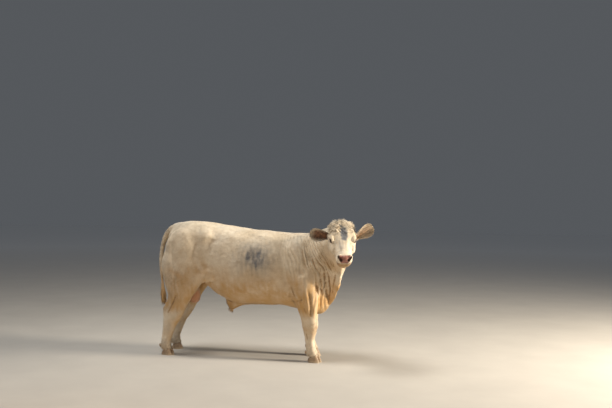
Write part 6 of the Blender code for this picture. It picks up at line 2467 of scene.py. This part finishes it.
@dataclass(frozen=True)
class LooseHair:
    """The longer hair at the sheath and the coronets, and the lashes."""

    sheath: Lock = Lock(0.052, 0.004, 0.0014, 0.02, 0.5, 5)
    coronet: Lock = Lock(0.019, 0.0036, 0.0012, 0.05, 0.4, 3)
    lash: Lock = Lock(0.017, 0.001, 0.0006, 0.0, 1.0, 4)

    def at_sheath(self, coat: Coat, hide: HideMap) -> None:
        """Adds the tuft at the end of the sheath.

        Args:
            coat: the coat it is added to.
            hide: the skin.
        """
        chosen = far_from(hide.points, np.array((-0.385, 0.0, 0.5))) < 0.034
        picked = np.flatnonzero(chosen & (hide.points[:, 1] < 0.02))
        picked = coat.dice.choice(picked, 70)
        places, ways = hide.points[picked], hide.ways[picked]
        lie = unit(np.array((-0.25, 0.0, -1.0)) + ways * 0.25 + coat.dice.normal(0, 0.1, ways.shape))
        up = unit(ways - lie * dot(ways, lie)[:, None] + 1e-3)
        scale = coat.dice.uniform(0.45, 1.0, len(picked))
        coat.add(self.sheath, places, up, lie, unwrap_of(Region.TRUNK_RIGHT_REAR, places), scale)

    def at_coronets(self, coat: Coat, hide: HideMap, region: Region) -> None:
        """Adds the hair that falls over the top of the claws.

        Args:
            coat: the coat it is added to.
            hide: the skin.
            region: the pair of legs.
        """
        inside = hide.regions_of(hide.points) == region.number
        picked = np.flatnonzero(inside & (hide.points[:, 2] > 0.062) & (hide.points[:, 2] < 0.1))
        picked = coat.dice.choice(picked, 900)
        places, ways = hide.points[picked], hide.ways[picked]
        lie = unit(np.array((0.0, 0.0, -1.0)) + ways * 0.34 + coat.dice.normal(0, 0.08, ways.shape))
        up = unit(ways - lie * dot(ways, lie)[:, None] + 1e-3)
        scale = coat.dice.uniform(0.6, 1.1, len(picked))
        coat.add(self.coronet, places, up, lie, unwrap_of(region, places), scale)

    def lashes(self, coat: Coat) -> None:
        """Adds the lashes of both eyes, longer above than below."""
        for eye in EYES.values():
            for low, high, count, long in ((0.04, 0.46, 34, 1.0), (0.58, 0.92, 16, 0.55)):
                share = np.linspace(low, high, count)
                rim, look = eye.rim(share), HEAD.axes() @ eye.axes()[:, 2]
                outwards = unit(rim - HEAD.out(eye.place() + eye.axes()[:, 2] * eye.lid_radius))
                lie = unit(outwards * 0.75 + look * 0.9 + coat.dice.normal(0, 0.06, rim.shape))
                up = unit(look - lie * (lie @ look)[:, None])
                scale = long * coat.dice.uniform(0.75, 1.1, count)
                coat.add(self.lash, rim, up, lie, unwrap_of(Region.HEAD, rim), scale, shade=-0.1)


def grow_coat(hide: HideMap) -> None:
    """Grows, dresses and finishes the whole coat."""
    coats = ShortCoat().make(hide)
    PollCurls().make(hide)
    EarHair().add_to(coats[Region.EARS])
    loose = LooseHair()
    loose.at_sheath(coats[Region.TRUNK_RIGHT_REAR], hide)
    loose.at_coronets(coats[Region.FORELEGS], hide, Region.FORELEGS)
    loose.at_coronets(coats[Region.HINDLEGS], hide, Region.HINDLEGS)
    loose.lashes(coats[Region.HEAD])
    for coat in coats.values():
        coat.make([])
    Switch().make()


def main() -> None:
    """Builds the animal and the studio in order."""
    logging.basicConfig(level=logging.INFO, format="%(relativeCreated)6.0f ms %(message)s", stream=sys.stdout)
    Studio().make()
    hide = Hide().build()
    hide_map = HideMap.of(hide)
    dress_hide(hide, hide_map)
    grow_coat(hide_map)
    for eye in EYES.values():
        eye.make(EyeFinish())
    for legs in Legs:
        for side in Side:
            Claws(legs, side).make()


if __name__ == "__main__":
    main()
